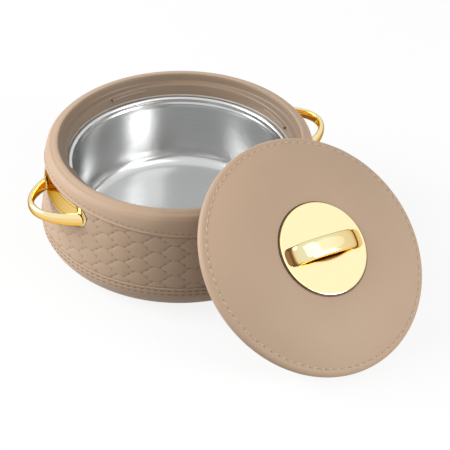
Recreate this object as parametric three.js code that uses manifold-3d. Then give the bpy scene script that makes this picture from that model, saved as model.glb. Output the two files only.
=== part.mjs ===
// Insulated serving casserole: a stitched, quilted pot with a steel bowl, two gold loop handles,
// and a lift-off lid that twists under four ramps. The lid stands beside the pot and leans on its shoulder.
// Millimetres, +Z up. The origin is the middle of the base, on the surface the pot stands on.
// The handles lie on -X and +X, and azimuths are turned from -Y towards +X.
import * as THREE from 'three';
import { mergeVertices } from 'three/addons/utils/BufferGeometryUtils.js';
import Module from 'manifold-3d';

const wasm = await Module();
wasm.setup();

const degree = Math.PI / 180;
const fullTurn = 2 * Math.PI;

// Fits, walls and counts
const fitGap = 0.3;
const cutOverrun = 6;
const wrapThickness = 2.4;
const shellWall = 2;
const ringSegments = 40;
const wallSamples = 200;
const wallStride = 13;

// Outside of the pot: radii step in from the widest one, heights step down from the crown
const potRadius = 120;
const baseInset = 16.3;
const wallInset = 4.5;
const shoulderInset = 11.2;
const crownInset = 15.1;
const mouthInset = 17.6;
const crownHeight = 96.8;
const shoulderDrop = 1.5;
const wallTopDrop = 17.8;
const seamDrop = 4.5;
const seamRise = 8.5;
const bulgeHeight = 22;
const baseLift = 0.8;
const lowerSeamHeight = 27.5;
const mouthEdgeDrop = 0.7;

const baseRadius = potRadius - baseInset;
const wallTopRadius = potRadius - wallInset;
const shoulderRadius = potRadius - shoulderInset;
const crownRadius = potRadius - crownInset;
const mouthRadius = potRadius - mouthInset;
const shoulderHeight = crownHeight - shoulderDrop;
const wallTopHeight = crownHeight - wallTopDrop;
const seamHeight = wallTopHeight - seamDrop;

// Quilting: columns of six-sided pads, every second column half a pad lower
const quiltColumns = 48;
const quiltStart = 25.7;
const quiltTurn = -4.4 * degree;
const quiltRowHeight = 14.1;
const quiltFlat = 6.6;
const quiltTuck = 1.1;
const quiltPadDepth = 0.2;
const quiltGrooveDepth = 1.3;
const quiltPadShare = 0.74;

// Base cap
const capThickness = 4.9;
const capFlangeHeight = 2.5;
const capFlangeInset = 1.5;
const capLipStep = 3.2;
const capFootWidth = 12;
const capPadShare = 0.63;
const capGroove = 1.2;
const capEdgeRound = 0.6;

const capFlangeRadius = baseRadius - capFlangeInset;
const capLipRadius = capFlangeRadius - capLipStep;
const capPadRadius = capPadShare * capLipRadius;

// Collar inside the mouth, with its ledge and the four ramps that hold the lid down
const collarTopDrop = 2.5;
const collarSeat = 2;
const ledgeDepth = 7.6;
const ledgeWidth = 5.8;
const collarWall = 2.5;
const collarSkirt = 10.4;
const rampCount = 4;
const rampSpan = 20 * degree;
const rampTurn = -0.2 * degree;
const rampReach = 2.3;
const rampThickness = 2.3;
const rampDrop = 1.9;

const collarTop = crownHeight - collarTopDrop;
const collarOuterRadius = mouthRadius + collarSeat;
const ledgeHeight = crownHeight - ledgeDepth;
const ledgeRadius = mouthRadius - ledgeWidth;
const collarBottom = ledgeHeight - collarSkirt;

// Steel bowl and its seal
const bowlBeadRadius = 2;
const bowlWall = 1;
const bowlFloorHeight = 13;
const bowlFloorInset = 26.9;
const bowlSideInset = 9.9;
const bowlSideHeight = 30;
const sealHeight = 3.2;
const sealWidth = 2.2;

const bowlRimRadius = ledgeRadius + fitGap;
const bowlRimTop = collarBottom - fitGap;
const bowlFloorRadius = bowlRimRadius - bowlFloorInset;
const bowlSideRadius = bowlRimRadius - bowlSideInset;

// Loop handles
const handleDrop = 26.1;
const plateTopRise = 10.6;
const plateEndRadius = 8.4;
const plateHalfLength = 39.2;
const plateBellyDrop = 8.2;
const plateThickness = 2;
const plateRimWidth = 1.8;
const plateRimRise = 1.2;
const loopReach = 21.2;
const loopThickness = 5.2;
const loopDepth = 9;
const loopCorner = 2.2;
const loopRootSpread = 28.4;
const loopArmRun = 20;
const loopNoseRun = 11.5;
const handleScrewAngle = 14.2 * degree;
const handleScrewReach = 0.9;

const handleHeight = crownHeight - handleDrop;

// Screws and washers
const screwShankRadius = 1.4;
const screwHeadRadius = 2.7;
const screwHeadHeight = 1.7;
const washerRadius = 4;
const washerThickness = 0.8;
const screwSides = 10;

// Lid
const lidEdgeGap = 1.1;
const lidEdgeRadius = 4.2;
const lidEdgeWall = 2;
const lidEdgeSeam = 62 * degree;
const lidEdgeTuck = 2.5;
const lidSeatMargin = 1.7;
const lidSeatHeight = 18.7;
const lidCreaseInset = 3;
const lidCreaseHeight = 4;
const lidBulgeInset = 26.3;
const lidCoverThickness = 2;
const lidShellWall = 1.8;
const plugInset = 8.1;
const plugDepth = 15.05;
const plugTaper = 7.6;
const plugTaperDepth = 8.4;
const linerWall = 2;
const gasketDrop = 0.4;
const gasketHeight = 1.4;
const gasketWidth = 2.8;
const lugCount = 4;
const lugSpan = 16 * degree;
const lugThickness = 2.2;
const lugReach = 2.6;

const lidRadius = mouthRadius - lidEdgeGap;
const lidCreaseRadius = lidRadius - lidCreaseInset;
const lidBulgeRadius = lidCreaseRadius - lidBulgeInset;
const plugRadius = lidRadius - plugInset;
const plugTipRadius = plugRadius - plugTaper;

// Knob plate and bridge knob
const knobPlateRadius = 39.3;
const knobPlateThickness = 1.6;
const lidSeatRadius = knobPlateRadius + lidSeatMargin;
const knobEndMargin = 4.3;
const knobHalfSpan = knobPlateRadius - knobEndMargin;
const knobRise = 12.3;
const knobThickness = 4.4;
const knobWidth = 14;
const knobCorner = 1.9;
const knobFlatShare = 0.43;
const knobTurn = -8.5 * degree;
const knobScrewInset = 7.5;
const knobBossRadius = 3.2;
const knobBossHeight = 4.5;
const knobScrewDepth = 3.4;

// Where the lid leans: the share of the plug flat's radius at which the shoulder meets it
const leanShare = 0.6964;
const leanSteps = 40;
const leanAzimuth = 9.8 * degree;
const leanSideOffset = 3.8;
const floorGap = 0.25;

// Finishes
function finish(colour, roughness, metalness) {
  return new THREE.MeshStandardMaterial({ color: colour, roughness, metalness });
}
const leatherTaupe = () => finish(0xb39d85, 0.55, 0);
const mouldedTaupe = () => finish(0x8f7a65, 0.45, 0);
const darkPlastic = () => finish(0x6d5f52, 0.6, 0);
const steel = () => finish(0xc9ccd0, 0.22, 1);
const gold = () => finish(0xe2bf62, 0.16, 1);
const zinc = () => finish(0xb5b7ba, 0.35, 1);
const foamCream = () => finish(0xeadfb8, 0.9, 0);
const silicone = () => finish(0xd9d4cc, 0.7, 0);

// Meshes, solids and the cuts between them
function mergedPositions(geometry) {
  const bare = geometry.clone();
  bare.deleteAttribute('normal');
  bare.deleteAttribute('uv');
  const merged = mergeVertices(bare);
  const kept = [];
  const index = merged.index.array;
  for (let i = 0; i < index.length; i += 3) {
    const [a, b, c] = [index[i], index[i + 1], index[i + 2]];
    if (a !== b && b !== c && c !== a) {
      kept.push(a, b, c);
    }
  }
  merged.setIndex(kept);
  return merged;
}

function solidFrom(geometry) {
  const merged = mergedPositions(geometry);
  const mesh = new wasm.Mesh({
    numProp: 3,
    vertProperties: Float32Array.from(merged.attributes.position.array),
    triVerts: Uint32Array.from(merged.index.array),
  });
  return new wasm.Manifold(mesh);
}

function geometryFrom(solid) {
  const mesh = solid.getMesh();
  const geometry = new THREE.BufferGeometry();
  geometry.setAttribute('position', new THREE.BufferAttribute(Float32Array.from(mesh.vertProperties), 3));
  geometry.setIndex([...mesh.triVerts]);
  const loose = geometry.toNonIndexed();
  loose.computeVertexNormals();
  return loose;
}

function named(name, geometry, material) {
  const mesh = new THREE.Mesh(geometry, material);
  mesh.name = name;
  return mesh;
}

function revolve(profile, segments = ringSegments) {
  const points = profile.map(([r, z]) => new THREE.Vector2(r, z));
  const onAxis = profile[0][0] === 0;
  if (!onAxis) {
    points.push(points[0].clone());
  }
  const geometry = new THREE.LatheGeometry(points, segments);
  geometry.rotateX(Math.PI / 2);
  return mergedPositions(geometry);
}

function ringLoft(profileAt, segments = ringSegments) {
  const positions = [];
  const index = [];
  const count = profileAt(0).length;
  for (let s = 0; s < segments; s += 1) {
    const azimuth = (s / segments) * fullTurn;
    for (const [r, z] of profileAt(azimuth)) {
      positions.push(r * Math.sin(azimuth), -r * Math.cos(azimuth), z);
    }
  }
  for (let s = 0; s < segments; s += 1) {
    const next = (s + 1) % segments;
    for (let p = 0; p < count; p += 1) {
      const q = (p + 1) % count;
      const corners = [s * count + p, next * count + p, next * count + q, s * count + q];
      index.push(corners[0], corners[1], corners[2], corners[0], corners[2], corners[3]);
    }
  }
  const geometry = new THREE.BufferGeometry();
  geometry.setAttribute('position', new THREE.Float32BufferAttribute(positions, 3));
  geometry.setIndex(index);
  return geometry;
}

function cylinderAlong(radius, from, to, sides = screwSides) {
  const geometry = new THREE.CylinderGeometry(radius, radius, to - from, sides);
  geometry.rotateX(Math.PI / 2);
  geometry.translate(0, 0, (from + to) / 2);
  return geometry;
}

function roundedRectangle(width, height, corner) {
  const x = width / 2 - corner;
  const y = height / 2 - corner;
  const shape = new THREE.Shape();
  shape.moveTo(x, -y - corner);
  shape.absarc(x, -y, corner, -Math.PI / 2, 0, false);
  shape.absarc(x, y, corner, 0, Math.PI / 2, false);
  shape.absarc(-x, y, corner, Math.PI / 2, Math.PI, false);
  shape.absarc(-x, -y, corner, Math.PI, 1.5 * Math.PI, false);
  shape.closePath();
  return shape;
}

// The pot's outside, from the edge of the base over the bulge and the wall to the mouth
const bulgeRun = potRadius - baseRadius;
const cornerOutShare = 0.516;
const cornerUpShare = 0.149;
const cornerTopShare = 0.324;
const wallLowShare = 0.323;
const wallHighShare = 0.356;
const wallLeanShare = 0.211;
const shoulderLowShare = 0.454;
const shoulderLeanShare = 0.06;
const shoulderOutShare = 0.69;
const crownShare = 0.6;

const cornerRise = bulgeHeight - baseLift;
const wallRise = wallTopHeight - bulgeHeight;
const wallRun = potRadius - wallTopRadius;
const shoulderRise = shoulderHeight - wallTopHeight;
const shoulderRun = wallTopRadius - shoulderRadius;
const crownRun = shoulderRadius - crownRadius;
const mouthRun = crownRadius - mouthRadius;

const outside = new THREE.Path();
outside.moveTo(baseRadius, baseLift);
outside.bezierCurveTo(
  baseRadius + cornerOutShare * bulgeRun, baseLift + cornerUpShare * bulgeHeight,
  potRadius, bulgeHeight - cornerTopShare * cornerRise,
  potRadius, bulgeHeight,
);
outside.bezierCurveTo(
  potRadius, bulgeHeight + wallLowShare * wallRise,
  wallTopRadius + wallLeanShare * wallRun, wallTopHeight - wallHighShare * wallRise,
  wallTopRadius, wallTopHeight,
);
outside.bezierCurveTo(
  wallTopRadius - shoulderLeanShare * shoulderRun, wallTopHeight + shoulderLowShare * shoulderRise,
  shoulderRadius + shoulderOutShare * shoulderRun, shoulderHeight,
  shoulderRadius, shoulderHeight,
);
outside.quadraticCurveTo(
  shoulderRadius - crownShare * crownRun, crownHeight,
  crownRadius, crownHeight,
);
outside.quadraticCurveTo(
  mouthRadius, crownHeight,
  mouthRadius, crownHeight - mouthEdgeDrop - mouthRun / 2,
);

const outsidePoints = outside.getPoints(wallSamples / 5).map((p) => [p.x, p.y]);

// The outside moved inwards along its own normals
function inset(distance) {
  const last = outsidePoints.length - 1;
  return outsidePoints.map(([r, z], i) => {
    const [ra, za] = outsidePoints[Math.max(i - 1, 0)];
    const [rb, zb] = outsidePoints[Math.min(i + 1, last)];
    const length = Math.hypot(rb - ra, zb - za);
    return [r - (distance * (zb - za)) / length, z + (distance * (rb - ra)) / length];
  });
}

function radiusAt(points, height) {
  for (let i = 1; i < points.length; i += 1) {
    const [ra, za] = points[i - 1];
    const [rb, zb] = points[i];
    if (za <= height && height <= zb) {
      return ra + ((rb - ra) * (height - za)) / (zb - za);
    }
  }
  return points[0][0];
}

// Every layer keeps the same few points of the curve, so that neighbouring layers stay parallel
function between(points, low, high) {
  const margin = fitGap;
  const kept = points.filter(([, z], i) => i % wallStride === 0 && z > low + margin && z < high - margin);
  return [[radiusAt(points, low), low], ...kept, [radiusAt(points, high), high]];
}

const wrapInside = inset(wrapThickness);
const quiltInside = inset(wrapThickness - 1.5 * fitGap);
const shellOutside = inset(wrapThickness + fitGap);
const shellInside = inset(wrapThickness + fitGap + shellWall);
const foamOutside = inset(wrapThickness + 3 * fitGap + shellWall);

// The upper seam dips at the front and back and rises over each handle
function seamAt(azimuth) {
  return seamHeight + seamRise * Math.sin(azimuth) ** 2;
}

// Leather wrap in three pieces: base, quilted band and shoulder
function baseWrap() {
  const low = outsidePoints[0];
  const lowInside = wrapInside[0];
  const top = lowerSeamHeight - fitGap / 2;
  const outer = between(outsidePoints, low[1], top);
  const inner = between(wrapInside, lowInside[1], top).reverse();
  return ringLoft(() => [...outer, ...inner]);
}

function shortWall(points, low, high, steps) {
  const heights = Array.from({ length: steps + 1 }, (_, i) => low + ((high - low) * i) / steps);
  return heights.map((z) => [radiusAt(points, z), z]);
}

function shoulderWrap() {
  const fixedLow = seamHeight + seamRise + 2 * fitGap;
  const steps = 2;
  const turned = outsidePoints.filter(([, z], i) => i % wallStride === 0 && z > fixedLow + fitGap);
  const mouthEnd = [mouthRadius + fitGap, collarTop + fitGap];
  const inner = between(wrapInside, fixedLow, collarTop).reverse();
  const innerEnd = [collarOuterRadius, collarTop + fitGap];
  return ringLoft((azimuth) => {
    const low = seamAt(azimuth) + fitGap / 2;
    const outerWall = shortWall(outsidePoints, low, fixedLow, steps);
    const innerWall = shortWall(wrapInside, low, fixedLow, steps).reverse().slice(1);
    return [...outerWall, ...turned, mouthEnd, innerEnd, ...inner, ...innerWall];
  });
}

const quiltPitch = fullTurn / quiltColumns;

function quiltCell(cell, push) {
  // The side corners of a half pad lie on the edge of the field, level with its cut flat
  const { azimuth, low, high, middle } = cell;
  const half = quiltFlat / 2 / wallTopRadius;
  const wide = quiltPitch - half;
  const centre = (low + high) / 2;
  const corners = [
    [-half, low],
    [half, low],
    [wide, middle],
    [half, high],
    [-half, high],
    [-wide, middle],
  ];
  const place = ([a, z], depth) => {
    const r = radiusAt(outsidePoints, z) - depth;
    return [r * Math.sin(azimuth + a), -r * Math.cos(azimuth + a), z];
  };
  const rim = corners.map((c) => place(c, quiltGrooveDepth));
  const pad = corners.map(([a, z]) => place(
    [a * quiltPadShare, centre + (z - centre) * quiltPadShare],
    quiltPadDepth,
  ));
  const count = corners.length;
  for (let i = 0; i < count; i += 1) {
    const j = (i + 1) % count;
    push(rim[i], rim[j], pad[j]);
    push(rim[i], pad[j], pad[i]);
  }
  const apex = middle === low ? corners.length / 2 : 0;
  for (let i = 1; i + 1 < count; i += 1) {
    push(pad[apex], pad[(apex + i) % count], pad[(apex + i + 1) % count]);
  }
}

function quiltedField(low, high) {
  const positions = [];
  const push = (...triangle) => triangle.forEach((p) => positions.push(...p));
  const half = quiltFlat / 2 / wallTopRadius;
  for (let column = 0; column < quiltColumns; column += 1) {
    const azimuth = (column + 0.5) * quiltPitch + quiltTurn;
    const shifted = column % 2 === 1;
    const start = shifted ? low - quiltRowHeight / 2 : low;
    for (let z = start; z < high - quiltTuck; z += quiltRowHeight) {
      const cellLow = Math.max(z, low);
      const cellHigh = Math.min(z + quiltRowHeight, high);
      const middle = z < low ? low : Math.min(z + quiltRowHeight / 2, high);
      quiltCell({ azimuth, low: cellLow, high: cellHigh, middle }, push);
    }
  }
  // Plain inside and the two end faces, on the same columns as the pads' corners
  const rows = Math.ceil((high - low) / quiltRowHeight);
  const levels = Array.from({ length: rows + 1 }, (_, i) => Math.min(low + i * quiltRowHeight, high));
  const turns = [];
  for (let column = 0; column < quiltColumns; column += 1) {
    const azimuth = (column + 0.5) * quiltPitch + quiltTurn;
    turns.push(azimuth - half, azimuth + half);
  }
  const inside = (turn, z) => {
    const r = radiusAt(quiltInside, z);
    return [r * Math.sin(turn), -r * Math.cos(turn), z];
  };
  const groove = (turn, z) => {
    const r = radiusAt(outsidePoints, z) - quiltGrooveDepth;
    return [r * Math.sin(turn), -r * Math.cos(turn), z];
  };
  for (let i = 0; i < turns.length; i += 1) {
    const a = turns[i];
    const b = turns[(i + 1) % turns.length];
    for (let k = 0; k + 1 < levels.length; k += 1) {
      const [za, zb] = [levels[k], levels[k + 1]];
      push(inside(a, za), inside(b, zb), inside(b, za));
      push(inside(a, za), inside(a, zb), inside(b, zb));
    }
    push(inside(a, low), inside(b, low), groove(b, low));
    push(inside(a, low), groove(b, low), groove(a, low));
    push(inside(a, high), groove(b, high), inside(b, high));
    push(inside(a, high), groove(a, high), groove(b, high));
  }
  const geometry = new THREE.BufferGeometry();
  geometry.setAttribute('position', new THREE.Float32BufferAttribute(positions, 3));
  return solidFrom(geometry);
}

function quiltedWrap() {
  const top = seamHeight + seamRise + quiltTuck;
  const field = quiltedField(quiltStart, top);
  const inner = radiusAt(wrapInside, top) - cutOverrun;
  const outer = potRadius + cutOverrun;
  const bottom = lowerSeamHeight + fitGap / 2;
  const band = ringLoft((azimuth) => {
    const high = seamAt(azimuth) - fitGap / 2;
    return [[inner, bottom], [outer, bottom], [outer, high], [inner, high]];
  });
  return field.intersect(solidFrom(band));
}

// Moulded body behind the wrap, open at both ends
const capClear = capLipRadius + fitGap;
const bodyLow = shellOutside[0][1];

function outerBody() {
  const bodyTop = collarTop - fitGap - shellWall / 2;
  const outer = between(shellOutside, bodyLow, bodyTop);
  const inner = between(shellInside, bodyLow + shellWall, bodyTop - shellWall).reverse();
  const lip = collarOuterRadius + fitGap;
  return revolve([
    [capClear, bodyLow],
    ...outer,
    [lip, bodyTop],
    [lip, bodyTop - shellWall],
    ...inner,
    [capClear, bodyLow + shellWall],
  ]);
}

function baseCap() {
  const footOuter = capFlangeRadius - capEdgeRound;
  const footInner = footOuter - capFootWidth;
  return revolve([
    [0, 0],
    [capPadRadius, 0],
    [capPadRadius + capGroove, capGroove],
    [footInner - capGroove, capGroove],
    [footInner, 0],
    [footOuter, 0],
    [capFlangeRadius, capEdgeRound],
    [capFlangeRadius, capFlangeHeight],
    [capLipRadius, capFlangeHeight],
    [capLipRadius, capThickness],
    [0, capThickness],
  ]);
}

// Steel bowl with a rolled rim
const beadRadius = bowlRimRadius - bowlBeadRadius;
const beadHeight = bowlRimTop - bowlBeadRadius;
const bowlMouthRadius = beadRadius - bowlBeadRadius;

function bowlSide(offset, steps) {
  const side = new THREE.Path();
  const sideRun = bowlSideRadius - bowlFloorRadius;
  const cornerShare = 0.7;
  side.moveTo(bowlFloorRadius, bowlFloorHeight - offset);
  side.bezierCurveTo(
    bowlFloorRadius + cornerShare * sideRun + offset, bowlFloorHeight - offset,
    bowlSideRadius + offset, bowlSideHeight - cornerShare * (bowlSideHeight - bowlFloorHeight),
    bowlSideRadius + offset, bowlSideHeight,
  );
  return side.getPoints(steps).map((p) => [p.x, p.y]);
}

function innerBowl() {
  const beadSteps = 5;
  const bead = Array.from({ length: beadSteps + 1 }, (_, i) => {
    const turn = -Math.PI / 2 + (1.5 * Math.PI * i) / beadSteps;
    return [beadRadius + bowlBeadRadius * Math.cos(turn), beadHeight + bowlBeadRadius * Math.sin(turn)];
  });
  return revolve([
    [0, bowlFloorHeight - bowlWall],
    ...bowlSide(bowlWall, 3),
    [bowlMouthRadius + bowlWall, beadHeight - bowlBeadRadius],
    ...bead,
    ...bowlSide(0, 3).reverse(),
    [0, bowlFloorHeight],
  ]);
}

const sealInner = bowlRimRadius + fitGap;
const sealTop = collarBottom - fitGap;

function bowlSeal() {
  return revolve([
    [sealInner, sealTop - sealHeight],
    [sealInner + sealWidth, sealTop - sealHeight],
    [sealInner + sealWidth, sealTop],
    [sealInner, sealTop],
  ]);
}

function foamCore() {
  const low = capThickness + fitGap + shellWall;
  const top = ledgeHeight - collarWall - fitGap;
  const outer = between(foamOutside, low, top);
  const sealOuter = sealInner + sealWidth + fitGap;
  const beadLow = beadHeight - bowlBeadRadius - fitGap;
  const bowlOutside = bowlSide(bowlWall + fitGap, 3).reverse();
  return revolve([
    [0, capThickness + fitGap],
    [capLipRadius, capThickness + fitGap],
    [capLipRadius, low],
    ...outer,
    [sealOuter, top],
    [sealOuter, beadLow],
    [bowlMouthRadius + bowlWall + 2 * fitGap, beadLow],
    ...bowlOutside,
    [0, bowlFloorHeight - bowlWall - fitGap],
  ]);
}

// Collar: a ledge for the lid's edge, and ramps below it for the lid's lugs
function arcBlock({ inner, outer, low, high, span, middle, steps }) {
  const shape = new THREE.Shape();
  shape.absarc(0, 0, outer, middle - span / 2, middle + span / 2, false);
  shape.absarc(0, 0, inner, middle + span / 2, middle - span / 2, true);
  shape.closePath();
  const geometry = new THREE.ExtrudeGeometry(shape, {
    depth: high - low,
    bevelEnabled: false,
    curveSegments: steps,
  });
  geometry.rotateZ(-Math.PI / 2);
  geometry.translate(0, 0, low);
  return solidFrom(geometry);
}

const rampTop = ledgeHeight - rampDrop;
const rampBottom = rampTop - rampThickness;

function collarRing() {
  let collar = solidFrom(revolve([
    [ledgeRadius + fitGap, collarBottom],
    [ledgeRadius + fitGap + collarWall, collarBottom],
    [ledgeRadius + fitGap + collarWall, ledgeHeight - collarWall],
    [collarOuterRadius, ledgeHeight - collarWall],
    [collarOuterRadius, collarTop],
    [mouthRadius + fitGap, collarTop],
    [mouthRadius - fitGap, ledgeHeight],
    [ledgeRadius, ledgeHeight],
  ]));
  for (let i = 0; i < rampCount; i += 1) {
    collar = collar.add(arcBlock({
      inner: ledgeRadius - rampReach,
      outer: ledgeRadius + collarWall / 2,
      low: rampBottom,
      high: rampTop,
      span: rampSpan,
      middle: (i / rampCount) * fullTurn + rampTurn,
      steps: 4,
    }));
  }
  return collar;
}

// A loop handle on the +X side: a back plate that hugs the quilting and a strap bent out in a loop
function plateOutline(margin) {
  const endRadius = plateEndRadius - margin;
  const end = plateHalfLength - plateEndRadius;
  const middle = handleHeight + plateTopRise - plateEndRadius;
  const low = middle - endRadius;
  const belly = handleHeight - plateBellyDrop + margin;
  const bellyShare = 0.39;
  const dip = bellyShare * end;
  const shape = new THREE.Shape();
  shape.moveTo(-end, middle + endRadius);
  shape.absarc(-end, middle, endRadius, Math.PI / 2, 1.5 * Math.PI, false);
  shape.bezierCurveTo(-dip, low, -dip, belly, 0, belly);
  shape.bezierCurveTo(dip, belly, dip, low, end, low);
  shape.absarc(end, middle, endRadius, -Math.PI / 2, Math.PI / 2, false);
  shape.closePath();
  return shape;
}

function platePrism(margin) {
  const geometry = new THREE.ExtrudeGeometry(plateOutline(margin), {
    depth: potRadius,
    bevelEnabled: false,
    curveSegments: 4,
  });
  geometry.rotateX(Math.PI / 2);
  geometry.rotateZ(Math.PI / 2);
  geometry.translate(potRadius / 2, 0, 0);
  return solidFrom(geometry);
}

const plateLow = handleHeight - plateBellyDrop - cutOverrun;
const plateHigh = handleHeight + plateTopRise + cutOverrun;

function wallLayer(depth, segments) {
  const back = inset(-fitGap);
  const front = inset(-fitGap - depth);
  return solidFrom(ringLoft(() => [
    ...between(front, plateLow, plateHigh),
    ...between(back, plateLow, plateHigh).reverse(),
  ], segments));
}

function loopStrap() {
  const root = new THREE.Vector3(
    radiusAt(outsidePoints, handleHeight) * Math.cos(Math.asin(loopRootSpread / wallTopRadius)),
    loopRootSpread,
    handleHeight,
  );
  const nose = new THREE.Vector3(potRadius + loopReach - loopThickness / 2, 0, handleHeight);
  const armShare = 0.9;
  const spreadShare = 0.44;
  const half = (side) => new THREE.CubicBezierCurve3(
    new THREE.Vector3(root.x, side * root.y, root.z),
    new THREE.Vector3(root.x + armShare * loopArmRun, side * (root.y - spreadShare * loopArmRun), root.z),
    new THREE.Vector3(nose.x, side * loopNoseRun, nose.z),
    nose,
  );
  const first = half(-1);
  const second = half(1);
  const path = new THREE.CurvePath();
  path.add(first);
  path.add(new THREE.CubicBezierCurve3(second.v3, second.v2, second.v1, second.v0));
  const section = roundedRectangle(loopDepth, loopThickness, loopCorner);
  return solidFrom(new THREE.ExtrudeGeometry(section, {
    steps: 12,
    bevelEnabled: false,
    curveSegments: 2,
    extrudePath: path,
  }));
}

function screwSeatRadius() {
  const heights = [handleHeight - washerRadius, handleHeight + washerRadius];
  const wall = Math.min(...heights.map((z) => radiusAt(shellInside, z)));
  return wall * Math.cos(Math.PI / ringSegments) - fitGap;
}

const handleScrewTip = radiusAt(outsidePoints, handleHeight) + fitGap + plateThickness + handleScrewReach;
const handleScrewSpots = [-1, 1].flatMap((side) => [-1, 1].map((end) => (
  side * (Math.PI / 2) + end * handleScrewAngle
)));

function radialCylinder(radius, from, to, azimuth) {
  const geometry = cylinderAlong(radius, from, to);
  geometry.rotateX(Math.PI / 2);
  geometry.rotateZ(azimuth);
  geometry.translate(0, 0, handleHeight);
  return solidFrom(geometry);
}

function loopHandle(side) {
  const fineSegments = 2 * ringSegments;
  const plate = wallLayer(plateThickness, fineSegments).intersect(platePrism(0));
  const edge = platePrism(0).subtract(platePrism(plateRimWidth));
  const rim = wallLayer(plateThickness + plateRimRise, fineSegments).intersect(edge);
  const inside = solidFrom(ringLoft(() => [
    [potRadius / 2, plateLow],
    ...between(inset(-fitGap), plateLow, plateHigh),
    [potRadius / 2, plateHigh],
  ], fineSegments));
  let handle = plate.add(rim).add(loopStrap().subtract(inside));
  for (const azimuth of handleScrewSpots.slice(2)) {
    const tip = handleScrewTip + fitGap;
    handle = handle.subtract(radialCylinder(screwShankRadius + fitGap, potRadius / 2, tip, azimuth));
  }
  const geometry = geometryFrom(handle);
  if (side < 0) {
    geometry.rotateZ(Math.PI);
  }
  return geometry;
}

// Holes for the handle screws through the wrap and the body, and pockets for their heads in the foam
function drilled(solid, radius, from, to) {
  let cut = solid;
  for (const azimuth of handleScrewSpots) {
    cut = cut.subtract(radialCylinder(radius, from, to, azimuth));
  }
  return cut;
}

const handleScrewSeat = screwSeatRadius();
const handleScrewHead = handleScrewSeat - washerThickness - fitGap;

function screw(length) {
  return revolve([
    [0, -screwHeadHeight],
    [screwHeadRadius, -screwHeadHeight],
    [screwHeadRadius, 0],
    [screwShankRadius, 0],
    [screwShankRadius, length],
    [0, length],
  ], screwSides);
}

function washer() {
  const bore = screwShankRadius + fitGap;
  return revolve([
    [bore, 0],
    [washerRadius, 0],
    [washerRadius, washerThickness],
    [bore, washerThickness],
  ], screwSides);
}

// Lid, in its own frame: the middle of its rolled edge is the origin and its top faces +Z
const lidEdgeCentre = lidRadius - lidEdgeRadius;

function coverTop(offset, steps) {
  const curve = new THREE.QuadraticBezierCurve(
    new THREE.Vector2(lidSeatRadius, lidSeatHeight - offset),
    new THREE.Vector2(lidBulgeRadius, lidSeatHeight - offset),
    new THREE.Vector2(lidCreaseRadius, lidCreaseHeight - offset),
  );
  return curve.getPoints(steps).map((p) => [p.x, p.y]);
}

function coverHeightAt(radius) {
  const points = coverTop(0, wallSamples);
  if (radius <= lidSeatRadius) {
    return lidSeatHeight;
  }
  for (let i = 1; i < points.length; i += 1) {
    if (radius <= points[i][0]) {
      return points[i][1];
    }
  }
  return lidCreaseHeight;
}

function lidCover() {
  return revolve([
    [0, lidSeatHeight - lidCoverThickness],
    ...coverTop(lidCoverThickness, 4).map(([r, z]) => [Math.min(r, lidCreaseRadius - lidEdgeWall / 2), z]),
    ...coverTop(0, 5).reverse(),
    [0, lidSeatHeight],
  ]);
}

const shellTopDrop = lidCoverThickness + fitGap;
const shellBottomDrop = shellTopDrop + lidShellWall;
const flangeRadius = lidEdgeCentre + fitGap;
const flangeTop = lidCreaseHeight - shellBottomDrop - fitGap;

function capped(points, limit) {
  return points.map(([r, z]) => [Math.min(r, limit), z]);
}

function lidShell() {
  return revolve([
    [0, lidSeatHeight - shellBottomDrop],
    ...capped(coverTop(shellBottomDrop, 3), flangeRadius),
    ...capped(coverTop(shellTopDrop, 3), flangeRadius).reverse(),
    [0, lidSeatHeight - shellTopDrop],
  ]);
}

function lidEdgeBand() {
  const steps = 5;
  const arc = (radius, i) => {
    const turn = -Math.PI / 2 + ((lidEdgeSeam + Math.PI / 2) * i) / steps;
    return [lidEdgeCentre + radius * Math.cos(turn), radius * Math.sin(turn)];
  };
  const rows = Array.from({ length: steps + 1 }, (_, i) => i);
  const inner = lidEdgeRadius - lidEdgeWall;
  return revolve([
    [lidEdgeCentre - lidEdgeTuck, -lidEdgeRadius],
    ...rows.map((i) => arc(lidEdgeRadius, i)),
    ...rows.filter((i) => i % 2 === 1).map((i) => arc(inner, i)).reverse(),
    [lidEdgeCentre, -inner],
    [lidEdgeCentre - lidEdgeTuck, -inner],
  ]);
}

const lugTop = rampBottom - ledgeHeight - lidEdgeRadius - 2 * fitGap;
const linerFloor = -plugDepth + linerWall;
const linerInner = plugRadius - linerWall;

function lidLiner() {
  const flangeLow = -lidEdgeRadius + lidEdgeWall + fitGap;
  let liner = solidFrom(revolve([
    [0, -plugDepth],
    [plugTipRadius, -plugDepth],
    [plugRadius, -plugTaperDepth],
    [plugRadius, flangeLow],
    [flangeRadius, flangeLow],
    [flangeRadius, flangeTop],
    [linerInner, flangeTop],
    [linerInner, -plugTaperDepth + linerWall],
    [plugTipRadius - linerWall, linerFloor],
    [0, linerFloor],
  ]));
  for (let i = 0; i < lugCount; i += 1) {
    liner = liner.add(arcBlock({
      inner: plugRadius - 2 * linerWall,
      outer: plugRadius + lugReach,
      low: lugTop - lugThickness,
      high: lugTop,
      span: lugSpan,
      middle: ((i + 1 / 2) / lugCount) * fullTurn + knobTurn,
      steps: 3,
    }));
  }
  return liner;
}

function lidFoam() {
  const rim = linerInner - fitGap;
  const top = capped(coverTop(shellBottomDrop + fitGap, 3), rim).reverse();
  return revolve([
    [0, linerFloor + fitGap],
    [plugTipRadius - linerWall - fitGap, linerFloor + fitGap],
    [rim, -plugTaperDepth + linerWall + fitGap],
    ...top,
    [0, lidSeatHeight - shellBottomDrop - fitGap],
  ]);
}

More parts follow.
